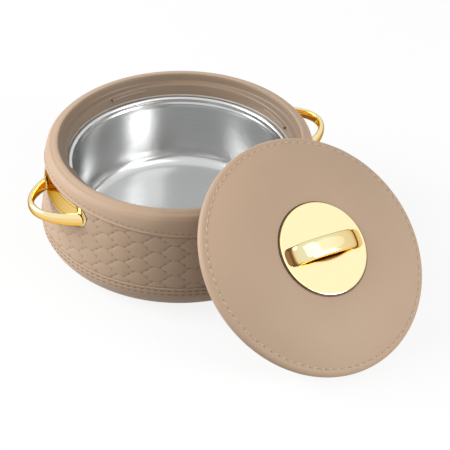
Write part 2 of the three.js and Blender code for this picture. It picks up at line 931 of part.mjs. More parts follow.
function lidGasket() {
  const inner = plugRadius + fitGap;
  const top = -lidEdgeRadius - gasketDrop;
  return revolve([
    [inner, top - gasketHeight],
    [inner + gasketWidth, top - gasketHeight],
    [inner + gasketWidth, top],
    [inner, top],
  ]);
}

const plateBottom = lidSeatHeight + fitGap;
const plateTop = plateBottom + knobPlateThickness;
const knobScrewPlace = knobHalfSpan - knobScrewInset;

function knobPlate() {
  const round = knobPlateThickness / 2;
  return revolve([
    [0, plateBottom],
    [knobPlateRadius - round / 2, plateBottom],
    [knobPlateRadius, plateBottom + round / 2],
    [knobPlateRadius, plateTop - round],
    [knobPlateRadius - round, plateTop],
    [0, plateTop],
  ]);
}

// The knob is a strap bent into a low bridge; its feet are cut level with the plate
function bridgeKnob() {
  const knobFlatHalf = knobFlatShare * knobHalfSpan;
  const footHeight = plateTop + fitGap;
  const level = footHeight + knobRise - knobThickness / 2;
  const legShare = 0.42;
  const legRun = knobHalfSpan - knobFlatHalf;
  const buried = footHeight - knobThickness;
  const leg = (side) => new THREE.CubicBezierCurve3(
    new THREE.Vector3(side * (knobHalfSpan - knobThickness / 3), 0, buried),
    new THREE.Vector3(side * (knobHalfSpan - legShare * legRun / 2), 0, footHeight + knobRise / 3),
    new THREE.Vector3(side * (knobFlatHalf + legShare * legRun), 0, level),
    new THREE.Vector3(side * knobFlatHalf, 0, level),
  );
  const left = leg(-1);
  const right = leg(1);
  const path = new THREE.CurvePath();
  path.add(left);
  path.add(new THREE.LineCurve3(left.v3, right.v3));
  path.add(new THREE.CubicBezierCurve3(right.v3, right.v2, right.v1, right.v0));
  const section = roundedRectangle(knobWidth, knobThickness, knobCorner);
  const strap = solidFrom(new THREE.ExtrudeGeometry(section, {
    steps: 15,
    bevelEnabled: false,
    curveSegments: 2,
    extrudePath: path,
  }));
  const above = new THREE.BoxGeometry(3 * knobHalfSpan, 3 * knobWidth, 3 * knobRise);
  above.translate(0, 0, footHeight + 1.5 * knobRise);
  let knob = strap.intersect(solidFrom(above));
  for (const side of [-1, 1]) {
    const boss = cylinderAlong(knobBossRadius, footHeight, footHeight + knobBossHeight);
    boss.translate(side * knobScrewPlace, 0, 0);
    knob = knob.add(solidFrom(boss));
    const hole = cylinderAlong(screwShankRadius + fitGap, buried, footHeight + knobScrewDepth + fitGap);
    hole.translate(side * knobScrewPlace, 0, 0);
    knob = knob.subtract(solidFrom(hole));
  }
  const geometry = geometryFrom(knob);
  geometry.rotateZ(knobTurn);
  return geometry;
}

function lidDrilled(geometry, radius, from, to) {
  let solid = solidFrom(geometry);
  for (const side of [-1, 1]) {
    const hole = cylinderAlong(radius, from, to);
    hole.translate(side * knobScrewPlace, 0, 0);
    hole.rotateZ(knobTurn);
    solid = solid.subtract(solidFrom(hole));
  }
  return geometryFrom(solid);
}

// Assembly: the pot
const holeRadius = screwShankRadius + fitGap;
const pocketRadius = washerRadius + 2 * fitGap;
const pot = new THREE.Group();
pot.add(named('base_cap', baseCap(), darkPlastic()));
pot.add(named('outer_body', geometryFrom(
  drilled(solidFrom(outerBody()), holeRadius, potRadius / 2, potRadius),
), mouldedTaupe()));
pot.add(named('base_wrap', baseWrap(), leatherTaupe()));
pot.add(named('quilted_wrap', geometryFrom(
  drilled(quiltedWrap(), holeRadius, potRadius / 2, potRadius + cutOverrun),
), leatherTaupe()));
pot.add(named('shoulder_wrap', shoulderWrap(), leatherTaupe()));
pot.add(named('foam_core', geometryFrom(
  drilled(solidFrom(foamCore()), pocketRadius, handleScrewHead - screwHeadHeight - fitGap, potRadius),
), foamCream()));
pot.add(named('inner_bowl', innerBowl(), steel()));
pot.add(named('bowl_seal', bowlSeal(), silicone()));
pot.add(named('collar_ring', geometryFrom(collarRing()), mouldedTaupe()));
pot.add(named('left_handle', loopHandle(-1), gold()));
pot.add(named('right_handle', loopHandle(1), gold()));

handleScrewSpots.forEach((azimuth, i) => {
  const spot = new THREE.Group();
  spot.position.z = handleHeight;
  spot.rotation.z = azimuth;
  const along = new THREE.Group();
  along.rotation.x = Math.PI / 2;
  const fastener = named(`handle_screw_${i + 1}`, screw(handleScrewTip - handleScrewHead), zinc());
  fastener.position.z = handleScrewHead;
  const ring = named(`handle_washer_${i + 1}`, washer(), zinc());
  ring.position.z = handleScrewHead + fitGap;
  along.add(fastener, ring);
  spot.add(along);
  pot.add(spot);
});

// Assembly: the lid, with its knob screws driven up from inside
const knobWasherTop = lidSeatHeight - shellBottomDrop - fitGap;
const knobHead = knobWasherTop - washerThickness - fitGap;
const knobScrewTip = plateTop + fitGap + knobScrewDepth;
const lid = new THREE.Group();
lid.add(named('lid_cover', lidDrilled(lidCover(), holeRadius, 0, plateTop), leatherTaupe()));
lid.add(named('lid_edge_band', lidEdgeBand(), leatherTaupe()));
lid.add(named('lid_shell', lidDrilled(lidShell(), holeRadius, 0, plateTop), mouldedTaupe()));
lid.add(named('lid_foam', lidDrilled(
  lidFoam(), pocketRadius, knobHead - screwHeadHeight - fitGap, plateTop,
), foamCream()));
lid.add(named('lid_liner', geometryFrom(lidLiner()), mouldedTaupe()));
lid.add(named('lid_gasket', lidGasket(), silicone()));
lid.add(named('knob_plate', lidDrilled(knobPlate(), holeRadius, 0, plateTop + cutOverrun), gold()));
lid.add(named('lid_knob', bridgeKnob(), gold()));

[-1, 1].forEach((side, i) => {
  const spot = new THREE.Group();
  spot.rotation.z = knobTurn;
  const fastener = named(`knob_screw_${i + 1}`, screw(knobScrewTip - knobHead), zinc());
  fastener.position.set(side * knobScrewPlace, 0, knobHead);
  const ring = named(`knob_washer_${i + 1}`, washer(), zinc());
  ring.position.set(side * knobScrewPlace, 0, knobHead + fitGap);
  spot.add(fastener, ring);
  lid.add(spot);
});

// The lid stands on its rolled edge and leans back until the flat of its plug meets the shoulder
function shoulderTouch(tilt) {
  const reach = ([r, z]) => r * Math.sin(tilt) + z * Math.cos(tilt);
  return outsidePoints.reduce((best, point) => (reach(point) > reach(best) ? point : best));
}

function leaningTilt() {
  const along = lidEdgeCentre + leanShare * plugTipRadius;
  let low = 0;
  let high = Math.PI / 2;
  for (let i = 0; i < leanSteps; i += 1) {
    const tilt = (low + high) / 2;
    const plugHeight = along * Math.sin(tilt) - plugDepth * Math.cos(tilt) + lidEdgeRadius + floorGap;
    if (plugHeight < shoulderTouch(tilt)[1]) {
      low = tilt;
    } else {
      high = tilt;
    }
  }
  return low;
}

const leanTilt = leaningTilt();
const leanSin = Math.sin(leanTilt);
const leanCos = Math.cos(leanTilt);
const lidCentreHeight = lidEdgeCentre * leanSin + lidEdgeRadius + floorGap;
const [touchRadius, touchHeight] = shoulderTouch(leanTilt);
const shoulderReach = touchRadius * leanSin + touchHeight * leanCos;
const leanDistance = (shoulderReach + fitGap + plugDepth - lidCentreHeight * leanCos) / leanSin;

const tilted = new THREE.Group();
tilted.rotation.x = leanTilt;
tilted.position.set(leanSideOffset, -leanDistance, lidCentreHeight);
tilted.add(lid);
const leaning = new THREE.Group();
leaning.rotation.z = leanAzimuth;
leaning.add(tilted);

const casserole = new THREE.Group();
casserole.add(pot, leaning);

export default casserole;
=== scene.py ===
"""Looks of a quilted insulated casserole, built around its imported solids."""

import math

import bmesh
import bpy
from mathutils import Matrix, Vector
from mathutils.geometry import interpolate_bezier


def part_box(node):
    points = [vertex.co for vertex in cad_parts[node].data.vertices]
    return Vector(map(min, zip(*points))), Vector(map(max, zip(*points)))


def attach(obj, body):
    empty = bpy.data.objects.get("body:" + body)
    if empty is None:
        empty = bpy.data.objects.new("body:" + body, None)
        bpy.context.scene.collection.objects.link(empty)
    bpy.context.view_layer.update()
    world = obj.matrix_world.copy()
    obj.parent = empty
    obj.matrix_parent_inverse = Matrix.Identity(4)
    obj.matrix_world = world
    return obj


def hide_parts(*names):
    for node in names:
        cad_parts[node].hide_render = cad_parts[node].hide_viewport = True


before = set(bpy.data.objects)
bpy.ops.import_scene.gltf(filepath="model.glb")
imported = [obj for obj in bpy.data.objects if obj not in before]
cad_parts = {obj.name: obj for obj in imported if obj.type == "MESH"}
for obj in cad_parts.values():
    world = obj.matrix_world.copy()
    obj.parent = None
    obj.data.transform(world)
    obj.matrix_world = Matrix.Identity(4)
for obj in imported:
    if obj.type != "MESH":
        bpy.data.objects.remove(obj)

bl_info = {
    "name": "Quilted Casserole",
    "version": (1, 0, 0),
    "blender": (4, 5, 0),
    "location": "3D View > Sidebar > Casserole",
    "description": "Builds a quilted insulated casserole with its leaning lid",
    "category": "Add Mesh",
}

MM = 0.001
FULL_TURN = 2 * math.pi

# Steps round a large and a small spun piece
ROUND, SMALL_ROUND = 256, 192

# How far ahead along a seam, as a share of it, its direction is read
AHEAD = 0.001

# Width of the picture that the camera was fitted to, with its focal length and aim point in pixels
PICTURE_PIXELS = 450
FOCAL_PIXELS = 2013.13
AIM_PIXELS = (180.08, 181.27)

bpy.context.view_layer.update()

# How much painted reflection and shade darkens the gold, from 0 to 1: it stands in for the dark
# surroundings that the polished plating mirrors and for the shade under the knob's bridge
PLATE_FACE_SHARE = 0.3
PLATE_LINE_SHARE = 0.55
PLATE_BORDER_SHARE = 0.45
STRAP_TOP_SHARE = 0.04
STRAP_BELOW_SHARE = 0.44
STRAP_LINE_SHARE = 0.3
STRAP_INSIDE_SHARE = 0.42
# Painted dark reflection on the knob's feet, darker on the left than on the right
KNOB_FEET_SHARES = (0.95, 0.5)
KNOB_WARM_SHARE = 0.3
KNOB_EDGE_SHARE = 0.3
KNOB_UNDER_SHARE = 0.95

# Curve handles of the pot's outline, as shares (outwards, upwards) of the way between its knots
BASE_SHARES = (0.516, 0.1546)
UNDER_BULGE_SHARES = (0, 0.324)
OVER_BULGE_SHARES = (0, 0.323)
WALL_SHARES = (0.211, 0.356)
TURN_SHARES = (0.06, 0.454)
LEVEL_SHARES = (0.69, 0)
CROWN_SHARES = (0.6, 1)

# How far the curve handles of the bowl's corner and of the strap's arm reach
CORNER_SHARE = 0.7
ARM_SHARES = (0.9, 0.44)

# How fast the back plate's raised edge runs round its ends, and where along its half the strap's
# root starts
END_SHARE = 0.9
ROOT_SHARE = 0.45

# Painted shade in the pressed line round the knob's plate, from 0 to 1
PRESSED_LINE_SHADE = 0.95

# Outward and upward parts of the dome's slope at its stitches
STITCH_SLOPE = (0.49, 0.87)


def length(name, about, millimetres):
    return bpy.props.FloatProperty(
        name=name, description=about, default=millimetres * MM, unit="LENGTH", precision=5
    )


def angle(name, about, degrees):
    return bpy.props.FloatProperty(
        name=name, description=about, default=math.radians(degrees), subtype="ANGLE"
    )


def ratio(name, about, value):
    return bpy.props.FloatProperty(name=name, description=about, default=value)


def wattage(name, about, value):
    return bpy.props.FloatProperty(name=name, description=about, default=value, unit="POWER")


def count(name, about, number):
    return bpy.props.IntProperty(name=name, description=about, default=number, min=3)


def linear(hex_code):
    """A colour written as an sRGB hex value, as the linear values that shaders take."""
    channels = [int(hex_code[i : i + 2], 16) / 255 for i in (1, 3, 5)]
    return [c / 12.92 if c <= 0.04045 else ((c + 0.055) / 1.055) ** 2.4 for c in channels]


def colour(name, about, hex_code):
    return bpy.props.FloatVectorProperty(
        name=name, description=about, default=linear(hex_code), subtype="COLOR", min=0, max=1
    )


# Sizes and colours that a user would change


class PotSizes(bpy.types.PropertyGroup):
    widest_radius: length("Widest radius", "Radius of the pot at its bulge", 120)
    base_radius: length("Base radius", "Radius where the wrap tucks under the pot", 103.7)
    base_edge: length("Base edge", "Height where the wrap starts", 0.8)
    bulge_height: length("Bulge height", "Height of the widest level", 22)
    wall_top_radius: length("Wall top radius", "Radius where the shoulder starts", 115.5)
    wall_top_height: length("Wall top height", "Height where the shoulder starts", 79)
    shoulder_radius: length("Shoulder radius", "Radius where the shoulder lies level", 108.8)
    shoulder_height: length("Shoulder height", "Height where the shoulder lies level", 95.3)
    crown_radius: length("Crown radius", "Radius of the rim's highest ring", 104.9)
    crown_height: length("Crown height", "Height of the rim", 96.8)
    mouth_radius: length("Mouth radius", "Radius of the mouth", 102.4)
    lower_seam: length("Lower seam", "Height of the seam above the plain base", 27.5)
    upper_seam: length("Upper seam", "Lowest height of the waved seam", 74.5)
    seam_rise: length("Seam rise", "How far the waved seam rises over each handle", 8.5)
    hem: length("Hem", "How far a folded hem stands proud", 0.6)
    skin: length("Skin", "Thickness of the leatherette", 1.6)
    lip_radius: length("Lip radius", "Where the leatherette ends over the mouth", 103.6)
    lip_drop: length("Lip drop", "How far the mouth's edge lies below the rim", 0.7)
    fixed_drop: length("Fixed drop", "Depth below the rim from which the shoulder follows the seam", 4.5)
    sunk_inner: length("Sunk ring, inner", "Inner radius of the sunk ring under the pot", 61.5)
    sunk_outer: length("Sunk ring, outer", "Outer radius of the sunk ring under the pot", 89.7)
    cap_lip: length("Cap lip", "Width of the base cap's lip", 3.2)


class QuiltSizes(bpy.types.PropertyGroup):
    columns: count("Columns", "Columns of pads round the pot", 48)
    turn: angle("Turn", "Turn of the first column", -4.4)
    start: length("Start", "Height of the first row of flats", 25.7)
    row: length("Row height", "Height of a pad", 14.1)
    flat: length("Flat", "Length of a pad's flat edge", 6.6)
    groove: length("Groove", "Depth of the stitched groove", 0.25)
    pillow: length("Pillow", "How far the pad's middle swells", 0.22)
    pit: length("Pit", "Depth of a needle hole", 0.45)
    pit_radius: length("Pit radius", "Size of a needle hole", 0.8)
    groove_half: length("Groove half width", "Half the width of the stitched groove", 0.6)
    crown: length("Crown", "Width over which a pad rises", 3.0)
    fold: length("Fold", "Width of the shade beside each seam", 0.8)
    tuck: length("Tuck", "How far the band runs on under its neighbours", 1.2)
    # Painted shade in the stitched groove, the needle holes and the leatherette beside each seam
    groove_painted_shade: ratio("Groove shade", "How dark the groove is", 0.08)
    pit_painted_shade: ratio("Pit shade", "How dark a needle hole is", 0.42)
    fold_painted_shade: ratio("Fold shade", "How dark the leatherette is beside a seam", 0.5)
    rows: count("Rows", "Rows of faces up the band", 84)
    detail: count("Detail", "Faces across one column of pads", 20)


class StitchSizes(bpy.types.PropertyGroup):
    stitch: length("Stitch", "Length of a stitch on the pot", 3.4)
    gap: length("Gap", "Gap between the pot's stitches", 2.2)
    thread: length("Thread", "Radius of the pot's thread", 0.34)
    above: length("Above the seam", "Stitches above the waved seam", 3.5)
    below: length("Below the seam", "First row below the lower seam", 3.0)
    apart: length("Rows apart", "Distance between the two lower rows", 3.6)
    ridge: length("Ridge", "How deep the two lower rows sink in", 0.4)
    sunk_width: length("Sunk width", "Half the width of that groove", 0.9)
    rim_inset: length("Rim inset", "Rim's stitches outside the leatherette's lip", 0.9)
    rim_thread: length("Rim thread", "Radius of the thread on the rim", 0.204)
    rim_sink: length("Rim sink", "How far the rim's stitches lie below its top", 0.1)
    proud: length("Proud", "Middle of the pot's thread outside the wall", 0.02)
    lid_stitch: length("Lid stitch", "Length of a stitch on the lid", 5.8)
    lid_gap: length("Lid gap", "Gap between the lid's stitches", 1.2)
    lid_thread: length("Lid thread", "Radius of the lid's thread", 0.55)
    slant: angle("Slant", "Lean of each stitch on the lid", 17)
    hole: length("Needle hole", "Radius of a needle hole on the lid", 0.6)


class BowlSizes(bpy.types.PropertyGroup):
    rim_radius: length("Rim radius", "Outer radius of the rolled rim", 96.9)
    rim_top: length("Rim top", "Height of the rolled rim", 78.5)
    bead: length("Bead", "Half the height of the rolled rim", 2.0)
    bead_wide: length("Bead width", "Half the width of the rolled rim", 2.7)
    floor_radius: length("Floor radius", "Radius of the flat floor", 70)
    floor_height: length("Floor height", "Height of the flat floor", 13)
    side_radius: length("Side radius", "Radius of the side above its corner", 87)
    side_height: length("Side height", "Height where the corner ends", 30)
    wall: length("Wall", "Thickness of the steel", 1.0)


class CollarSizes(bpy.types.PropertyGroup):
    top: length("Top", "Height of the collar's top", 96.3)
    outer: length("Outer radius", "Radius of the hidden flange", 104.4)
    ledge_height: length("Ledge height", "Height of the lid's ledge", 89.2)
    ledge_radius: length("Ledge radius", "Inner radius of the ledge", 96.6)
    bottom: length("Bottom", "Lower edge of the collar", 78.8)
    wall: length("Wall", "Thickness of the collar", 2.5)
    ramps: count("Ramps", "Locking ramps under the ledge", 4)
    ramp_span: angle("Ramp span", "Turn that a ramp covers", 20)
    ramp_turn: angle("Ramp turn", "Turn of the first ramp", -0.2)
    ramp_reach: length("Ramp reach", "How far a ramp stands inwards", 2.3)
    ramp_thickness: length("Ramp thickness", "Thickness of a ramp", 2.3)
    ramp_drop: length("Ramp drop", "Ramp's top below the ledge", 1.9)
    lug_span: angle("Lug span", "Turn that a lug of the lid covers", 16)
    lug_reach: length("Lug reach", "How far a lug stands outside the plug", 2.6)
    lug_thickness: length("Lug thickness", "Thickness of a lug", 2.2)
    lug_gap: length("Lug gap", "Room between a lug and its ramp", 0.6)


class HandleSizes(bpy.types.PropertyGroup):
    height: length("Height", "Height of the loop's middle", 70.7)
    plate_top: length("Plate top", "Plate's top edge above the loop's middle", 10.6)
    plate_half: length("Plate half length", "Half the plate's length round the wall", 39.2)
    plate_end: length("Plate end radius", "Radius of the plate's ends", 8.4)
    plate_belly: length("Plate belly", "Plate's lower edge below the loop's middle", 8.2)
    plate_dip: ratio("Plate dip", "Share of the half length where the lower edge dips", 0.39)
    plate_depth: length("Plate depth", "Thickness of the plate", 2.0)
    rim_width: length("Rim width", "Width of the raised edge", 1.9)
    rim_rise: length("Rim rise", "Height of the raised edge", 1.1)
    rim_foot: length("Rim foot", "Height of the plate's side", 0.5)
    plate_gap: length("Plate gap", "Height over the wall from which the plate is measured", 0.3)
    plate_back: length("Plate back", "How far the plate's back lies below that", 0.2)
    end_slope: ratio("End slope", "How much the plate thins towards its ends", 0.55)
    reach: length("Reach", "How far the loop stands out from the widest radius", 21.2)
    strap_depth: length("Strap depth", "Height of the strap", 9)
    strap_thickness: length("Strap thickness", "Thickness of the strap", 5.2)
    root_depth: length("Root depth", "Height of the strap where it meets the plate", 11.6)
    root_drop: length("Root drop", "Root's middle below the loop's middle", 1.0)
    root_spread: length("Root spread", "Half the distance between the loop's roots", 30.4)
    arm_run: length("Arm run", "Length of the straight arm", 20)
    fillet: length("Fillet", "Where the strap starts to flare towards the plate", 10)
    flare: ratio("Flare", "How much thicker the strap is at the plate", 1.1)
    nose_run: length("Nose run", "Roundness of the loop's nose", 11.5)


class LidSizes(bpy.types.PropertyGroup):
    radius: length("Radius", "Outer radius of the lid", 101.3)
    edge: length("Edge radius", "Radius of the rolled edge", 4.2)
    seat_radius: length("Seat radius", "Radius of the level middle", 41)
    seat_height: length("Seat height", "Height of the middle over the edge's middle", 18.7)
    crease_radius: length("Crease radius", "Radius where the top meets the rolled edge", 98.3)
    crease_height: length("Crease height", "Height of that crease", 4)
    bulge_radius: length("Bulge radius", "Control radius of the dome", 72)
    cover: length("Cover", "Thickness of the leatherette on the dome", 1.4)
    stitch_radius: length("Stitch radius", "Radius of the row of stitches", 96)
    plug_radius: length("Plug radius", "Radius of the plug", 93.2)
    plug_depth: length("Plug depth", "Plug's flat below the edge's middle", 15.05)
    plug_tip: length("Plug tip radius", "Radius of the plug's flat", 85.6)
    plug_straight: length("Plug straight", "Depth where the plug starts to narrow", 8.4)
    plug_wall: length("Plug wall", "Thickness of the plug", 2)
    tilt: angle("Tilt", "Lean of the lid", 40.292)
    turn: angle("Turn", "Direction that the lid faces, from -Y towards +X", 9.8)
    centre: bpy.props.FloatVectorProperty(
        name="Centre",
        description="Middle of the lid's rolled edge",
        default=(32.152 * MM, -163.817 * MM, 67.244 * MM),
        subtype="TRANSLATION",
    )


class KnobSizes(bpy.types.PropertyGroup):
    plate_radius: length("Plate radius", "Radius of the round plate", 39.3)
    plate_bottom: length("Plate bottom", "Plate's underside over the edge's middle", 19)
    plate_thickness: length("Plate thickness", "Thickness of the plate", 1.6)
    half_span: length("Half span", "Half the length of the bridge", 37)
    leg_half: length("Half legs", "Half the distance over the legs above their feet", 29)
    flat_half: length("Half flat", "Half the length of the bridge's level part", 17)
    open_half: length("Half opening", "Half the length of the finger opening", 20)
    crease: length("Crease", "Width of the pressed line round the plate", 0.9)
    rise: length("Rise", "Height of the bridge", 12.3)
    width: length("Width", "Width of the strap", 16)
    thickness: length("Thickness", "Thickness of the strap", 6.2)
    turn: angle("Turn", "Turn of the bridge on the lid", -8.5)
    waist: length("Waist", "Height at which the feet start to flare", 4.4)
    swell: length("Swell", "How far the plate's middle rises", 0.15)
    # Size and place of the lens of painted shade and reflection on the plate under the bridge
    shade_long: length("Shade length", "Half length of the deep lacquer under the bridge", 24)
    shade_wide: length("Shade width", "Half width of that lacquer", 8.9)
    shade_x: length("Shade along", "Its middle along the bridge", 1.5)
    shade_y: length("Shade across", "Its middle across the bridge", -2)


class Colours(bpy.types.PropertyGroup):
    leather: colour("Leatherette", "Main colour of the wraps and the lid", "#b99e85")
    # The deep leatherette colour serves the random mottle of the skin and the painted shade in grooves,
    # needle holes, seams and pressed lines
    leather_mottle_and_shade: colour("Leatherette, deep", "Colour in the grain and the needle holes", "#5e4b39")
    thread: colour("Thread", "Sewing thread of the lid", "#c6b29b")
    # The darker thread is partly the thread's tone and partly painted shade of the sunk stitches and their
    # holes
    thread_shaded: colour("Thread, deep", "Sewing thread of the pot", "#8a7561")
    moulded: colour("Moulded plastic", "Collar and liner", "#8b7764")
    base: colour("Base plastic", "Cap under the pot", "#6d5f52")
    # The rich and deep gold tones are painted reflection and shade, not the plating's own colour
    gold: colour("Gold", "Plating of the handles under thin lacquer", "#f9ebbb")
    gold_painted_reflection: colour("Gold, rich", "Plating of the handles under more lacquer", "#efbe58")
    knob: colour("Knob gold", "Plating of the knob under thin lacquer", "#ece3b4")
    knob_painted_reflection: colour("Knob gold, rich", "Plating of the knob under more lacquer", "#efc982")
    gold_edge: colour("Gold, edges", "Plating seen at a glancing angle", "#a87f38")
    gold_painted_shade: colour("Gold, deep", "Plating under the thickest lacquer", "#532f10")
    steel: colour("Steel", "Bowl", "#cfd0d0")
    zinc: colour("Zinc", "Screws and washers", "#b5b7ba")
    silicone: colour("Silicone", "Seals", "#d9d4cc")
    foam: colour("Foam", "Insulation", "#eadfb8")
    floor: colour("Floor", "Pale floor", "#f4f4f4")


class StageSettings(bpy.types.PropertyGroup):
    heading: angle("Heading", "Direction that the camera stands in, from -Y towards +X", -30.1)
    pitch: angle("Pitch", "How far the camera looks down", 36.268)
    roll: angle("Roll", "Turn of the camera about its view", -0.5615)
    distance: length("Distance", "Camera to the aim point", 1738.7)
    aim_height: length("Aim height", "Height of the aim point on the pot's axis", 51.5)
    focal: ratio("Focal length", "In picture widths", FOCAL_PIXELS / PICTURE_PIXELS)
    aim_x: ratio(
        "Aim across", "Aim point, in picture widths right of the middle",
        AIM_PIXELS[0] / PICTURE_PIXELS - 0.5,
    )
    aim_y: ratio(
        "Aim up", "Aim point, in picture widths above the middle", 0.5 - AIM_PIXELS[1] / PICTURE_PIXELS
    )
    key: wattage("Key light", "From the left", 66)
    fill: wattage("Fill light", "From the right", 34)
    glint: wattage("Glint light", "What the knob's plate mirrors", 0.9)
    accent: wattage("Accent light", "What the left end of the knob mirrors", 4.8)
    air: ratio("Sky", "Strength of the even light", 0.27)
    paper: ratio("Paper glow", "Strength of the floor's own white", 0.86)
    bounce: ratio("Paper bounce", "Share of its light that the floor gives back to the object", 0.5)
    floor_radius: length("Floor radius", "Radius of the paper", 6000)
    lamp_distance: length("Lamp distance", "Softboxes from what they face", 2200)


class CasseroleSettings(bpy.types.PropertyGroup):
    pot: bpy.props.PointerProperty(type=PotSizes)
    quilt: bpy.props.PointerProperty(type=QuiltSizes)
    stitch: bpy.props.PointerProperty(type=StitchSizes)
    bowl: bpy.props.PointerProperty(type=BowlSizes)
    collar: bpy.props.PointerProperty(type=CollarSizes)
    handle: bpy.props.PointerProperty(type=HandleSizes)
    lid: bpy.props.PointerProperty(type=LidSizes)
    knob: bpy.props.PointerProperty(type=KnobSizes)
    colours: bpy.props.PointerProperty(type=Colours)
    stage: bpy.props.PointerProperty(type=StageSettings)


def settings():
    return bpy.context.scene.casserole


# Curves and places


def curve(*knots, steps=12):
    """Points of cubic curves through (point, handle out, handle in, point) runs."""
    points = []
    for start, out, into, end in knots:
        run = interpolate_bezier(
            Vector((*start, 0)), Vector((*out, 0)), Vector((*into, 0)), Vector((*end, 0)), steps
        )
        points += [(p.x, p.y) for p in (run[1:] if points else run)]
    return points


def raised(start, control, end):
    """A quadratic curve as the cubic run that curve() takes."""
    out = tuple(s + 2 / 3 * (c - s) for s, c in zip(start, control))
    into = tuple(e + 2 / 3 * (c - e) for e, c in zip(end, control))
    return start, out, into, end


def steps_from(radius, height, *steps):
    """Points at steps (outwards, upwards), in millimetres, from a named corner."""
    return [(radius + out * MM, height + up * MM) for out, up in steps]


def pulled(knot, other, shares):
    """A curve's handle, at shares of the way from its knot towards another."""
    return tuple(a + part * (b - a) for a, b, part in zip(knot, other, shares))


def around(azimuth, radius=1.0, height=0.0):
    """A point on a circle about Z, at an azimuth counted from -Y towards +X."""
    return Vector((radius * math.sin(azimuth), -radius * math.cos(azimuth), height))


def rolled(centre, wide, high, turned, steps):
    """Section of a rolled edge: an arc that starts below its centre and turns outwards and up."""
    points = []
    for i in range(steps + 1):
        turn = turned * i / steps - math.pi / 2
        points.append((centre[0] + wide * math.cos(turn), centre[1] + high * math.sin(turn)))
    return points


def bell(value, width):
    """1 at zero, falling smoothly to nothing beyond a width."""
    return math.exp(-((value / width) ** 2))


def smooth_step(start, end, value):
    """0 before the start and 1 past the end, with a soft change between them."""
    part = min(max((value - start) / (end - start), 0.0), 1.0)
    return part * part * (3 - 2 * part)


def pot_outline(pot, steps=16):
    """The pot's outside from the edge of the base over the bulge to the mouth, as (radius, height)."""
    base = (pot.base_radius, pot.base_edge)
    bulge = (pot.widest_radius, pot.bulge_height)
    top = (pot.wall_top_radius, pot.wall_top_height)
    shoulder = (pot.shoulder_radius, pot.shoulder_height)
    crown = (pot.crown_radius, pot.crown_height)
    drop = pot.lip_drop + (pot.crown_radius - pot.mouth_radius) / 2
    lip = (pot.mouth_radius, pot.crown_height - drop)
    return curve(
        (base, pulled(base, bulge, BASE_SHARES), pulled(bulge, base, UNDER_BULGE_SHARES), bulge),
        (bulge, pulled(bulge, top, OVER_BULGE_SHARES), pulled(top, bulge, WALL_SHARES), top),
        (top, pulled(top, shoulder, TURN_SHARES), pulled(shoulder, top, LEVEL_SHARES), shoulder),
        raised(shoulder, pulled(shoulder, crown, CROWN_SHARES), crown),
        raised(crown, (lip[0], crown[1]), lip),
        steps=steps,
    )


def radius_at(outline, height):
    """Radius of the pot's outside at a height, on its way up."""
    for (ra, za), (rb, zb) in zip(outline, outline[1:]):
        if za <= height <= zb and zb > za:
            return ra + (rb - ra) * (height - za) / (zb - za)
    return outline[0][0] if height < outline[0][1] else outline[-1][0]


def height_on(points, place):
    """Height of a chain of (place, height) points, by straight lines between them."""
    for (xa, ya), (xb, yb) in zip(points, points[1:]):
        if xa <= place <= xb:
            return ya + (yb - ya) * (place - xa) / (xb - xa)
    return points[-1][1]


def wave(pot, azimuth):
    """Height of the upper seam: low at the front and back, high over the handles."""
    return pot.upper_seam + pot.seam_rise * math.sin(azimuth) ** 2


def lid_place(lid):
    """Matrix from the lid's own frame to where it leans."""
    lean = Matrix.Rotation(lid.turn, 4, "Z") @ Matrix.Rotation(lid.tilt, 4, "X")
    return Matrix.Translation(Vector(lid.centre)) @ lean


# Making pieces


def chain(bm, points, closed):
    verts = [bm.verts.new((r, 0, z)) for r, z in points]
    edges = [bm.edges.new(pair) for pair in zip(verts, verts[1:])]
    if closed:
        edges.append(bm.edges.new((verts[-1], verts[0])))
    return verts, edges


def spun(points, steps, closed=True, turn=FULL_TURN, start=0.0):
    """A profile of (radius, height) spun about Z. A profile that meets the axis is closed there."""
    bm = bmesh.new()
    verts, edges = chain(bm, points, closed)
    bmesh.ops.rotate(bm, verts=verts, matrix=Matrix.Rotation(start, 3, "Z"))
    full = abs(turn - FULL_TURN) < 1e-6
    bmesh.ops.spin(
        bm, geom=verts + edges, axis=(0, 0, 1), cent=(0, 0, 0), angle=turn, steps=steps,
        use_merge=full, use_duplicate=False,
    )
    if not full:
        loose = [e for e in bm.edges if len(e.link_faces) == 1]
        bmesh.ops.holes_fill(bm, edges=loose, sides=0)
    return cleaned(bm)


def cleaned(bm, gap=0.00001):
    bmesh.ops.remove_doubles(bm, verts=bm.verts, dist=gap)
    bmesh.ops.recalc_face_normals(bm, faces=bm.faces)
    return bm


def piece(name, bm, body, material, replaces=(), place=None, flat_over=None):
    """A finished piece that rides on its body, with its place in its mesh. Edges that turn by more
    than flat_over degrees stay sharp."""
    if place is not None:
        bmesh.ops.transform(bm, matrix=place, verts=bm.verts)
    for face in bm.faces:
        face.smooth = True
    if flat_over is not None:
        for edge in bm.edges:
            if len(edge.link_faces) == 2 and edge.calc_face_angle(0) > math.radians(flat_over):
                edge.smooth = False
    mesh = bpy.data.meshes.new(name)
    bm.to_mesh(mesh)
    bm.free()
    obj = bpy.data.objects.new(name, mesh)
    bpy.context.scene.collection.objects.link(obj)
    mesh.materials.append(material)
    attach(obj, body)
    if replaces:
        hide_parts(*replaces)
    return obj


def mark_painted_reflection(bm, share_at):
    """Writes how much painted reflection and shade darkens the gold at each point, 0 to 1, for the gold to
    read.
    """
    bm.normal_update()
    layer = bm.verts.layers.float.new("painted_reflection")
    for vert in bm.verts:
        vert[layer] = min(share_at(vert.co, vert.normal), 1.0)


def capsule(bm, centre, along, up, half, radius, flat=1.0):
    """One stitch: a long bead that lies along the seam."""
    along = along.normalized()
    across = up.cross(along).normalized()
    turn = Matrix((along, across, along.cross(across))).transposed().to_4x4()
    size = Matrix.Diagonal((half, radius, radius * flat, 1))
    bmesh.ops.create_icosphere(
        bm, subdivisions=1, radius=1.0, matrix=Matrix.Translation(centre) @ turn @ size
    )


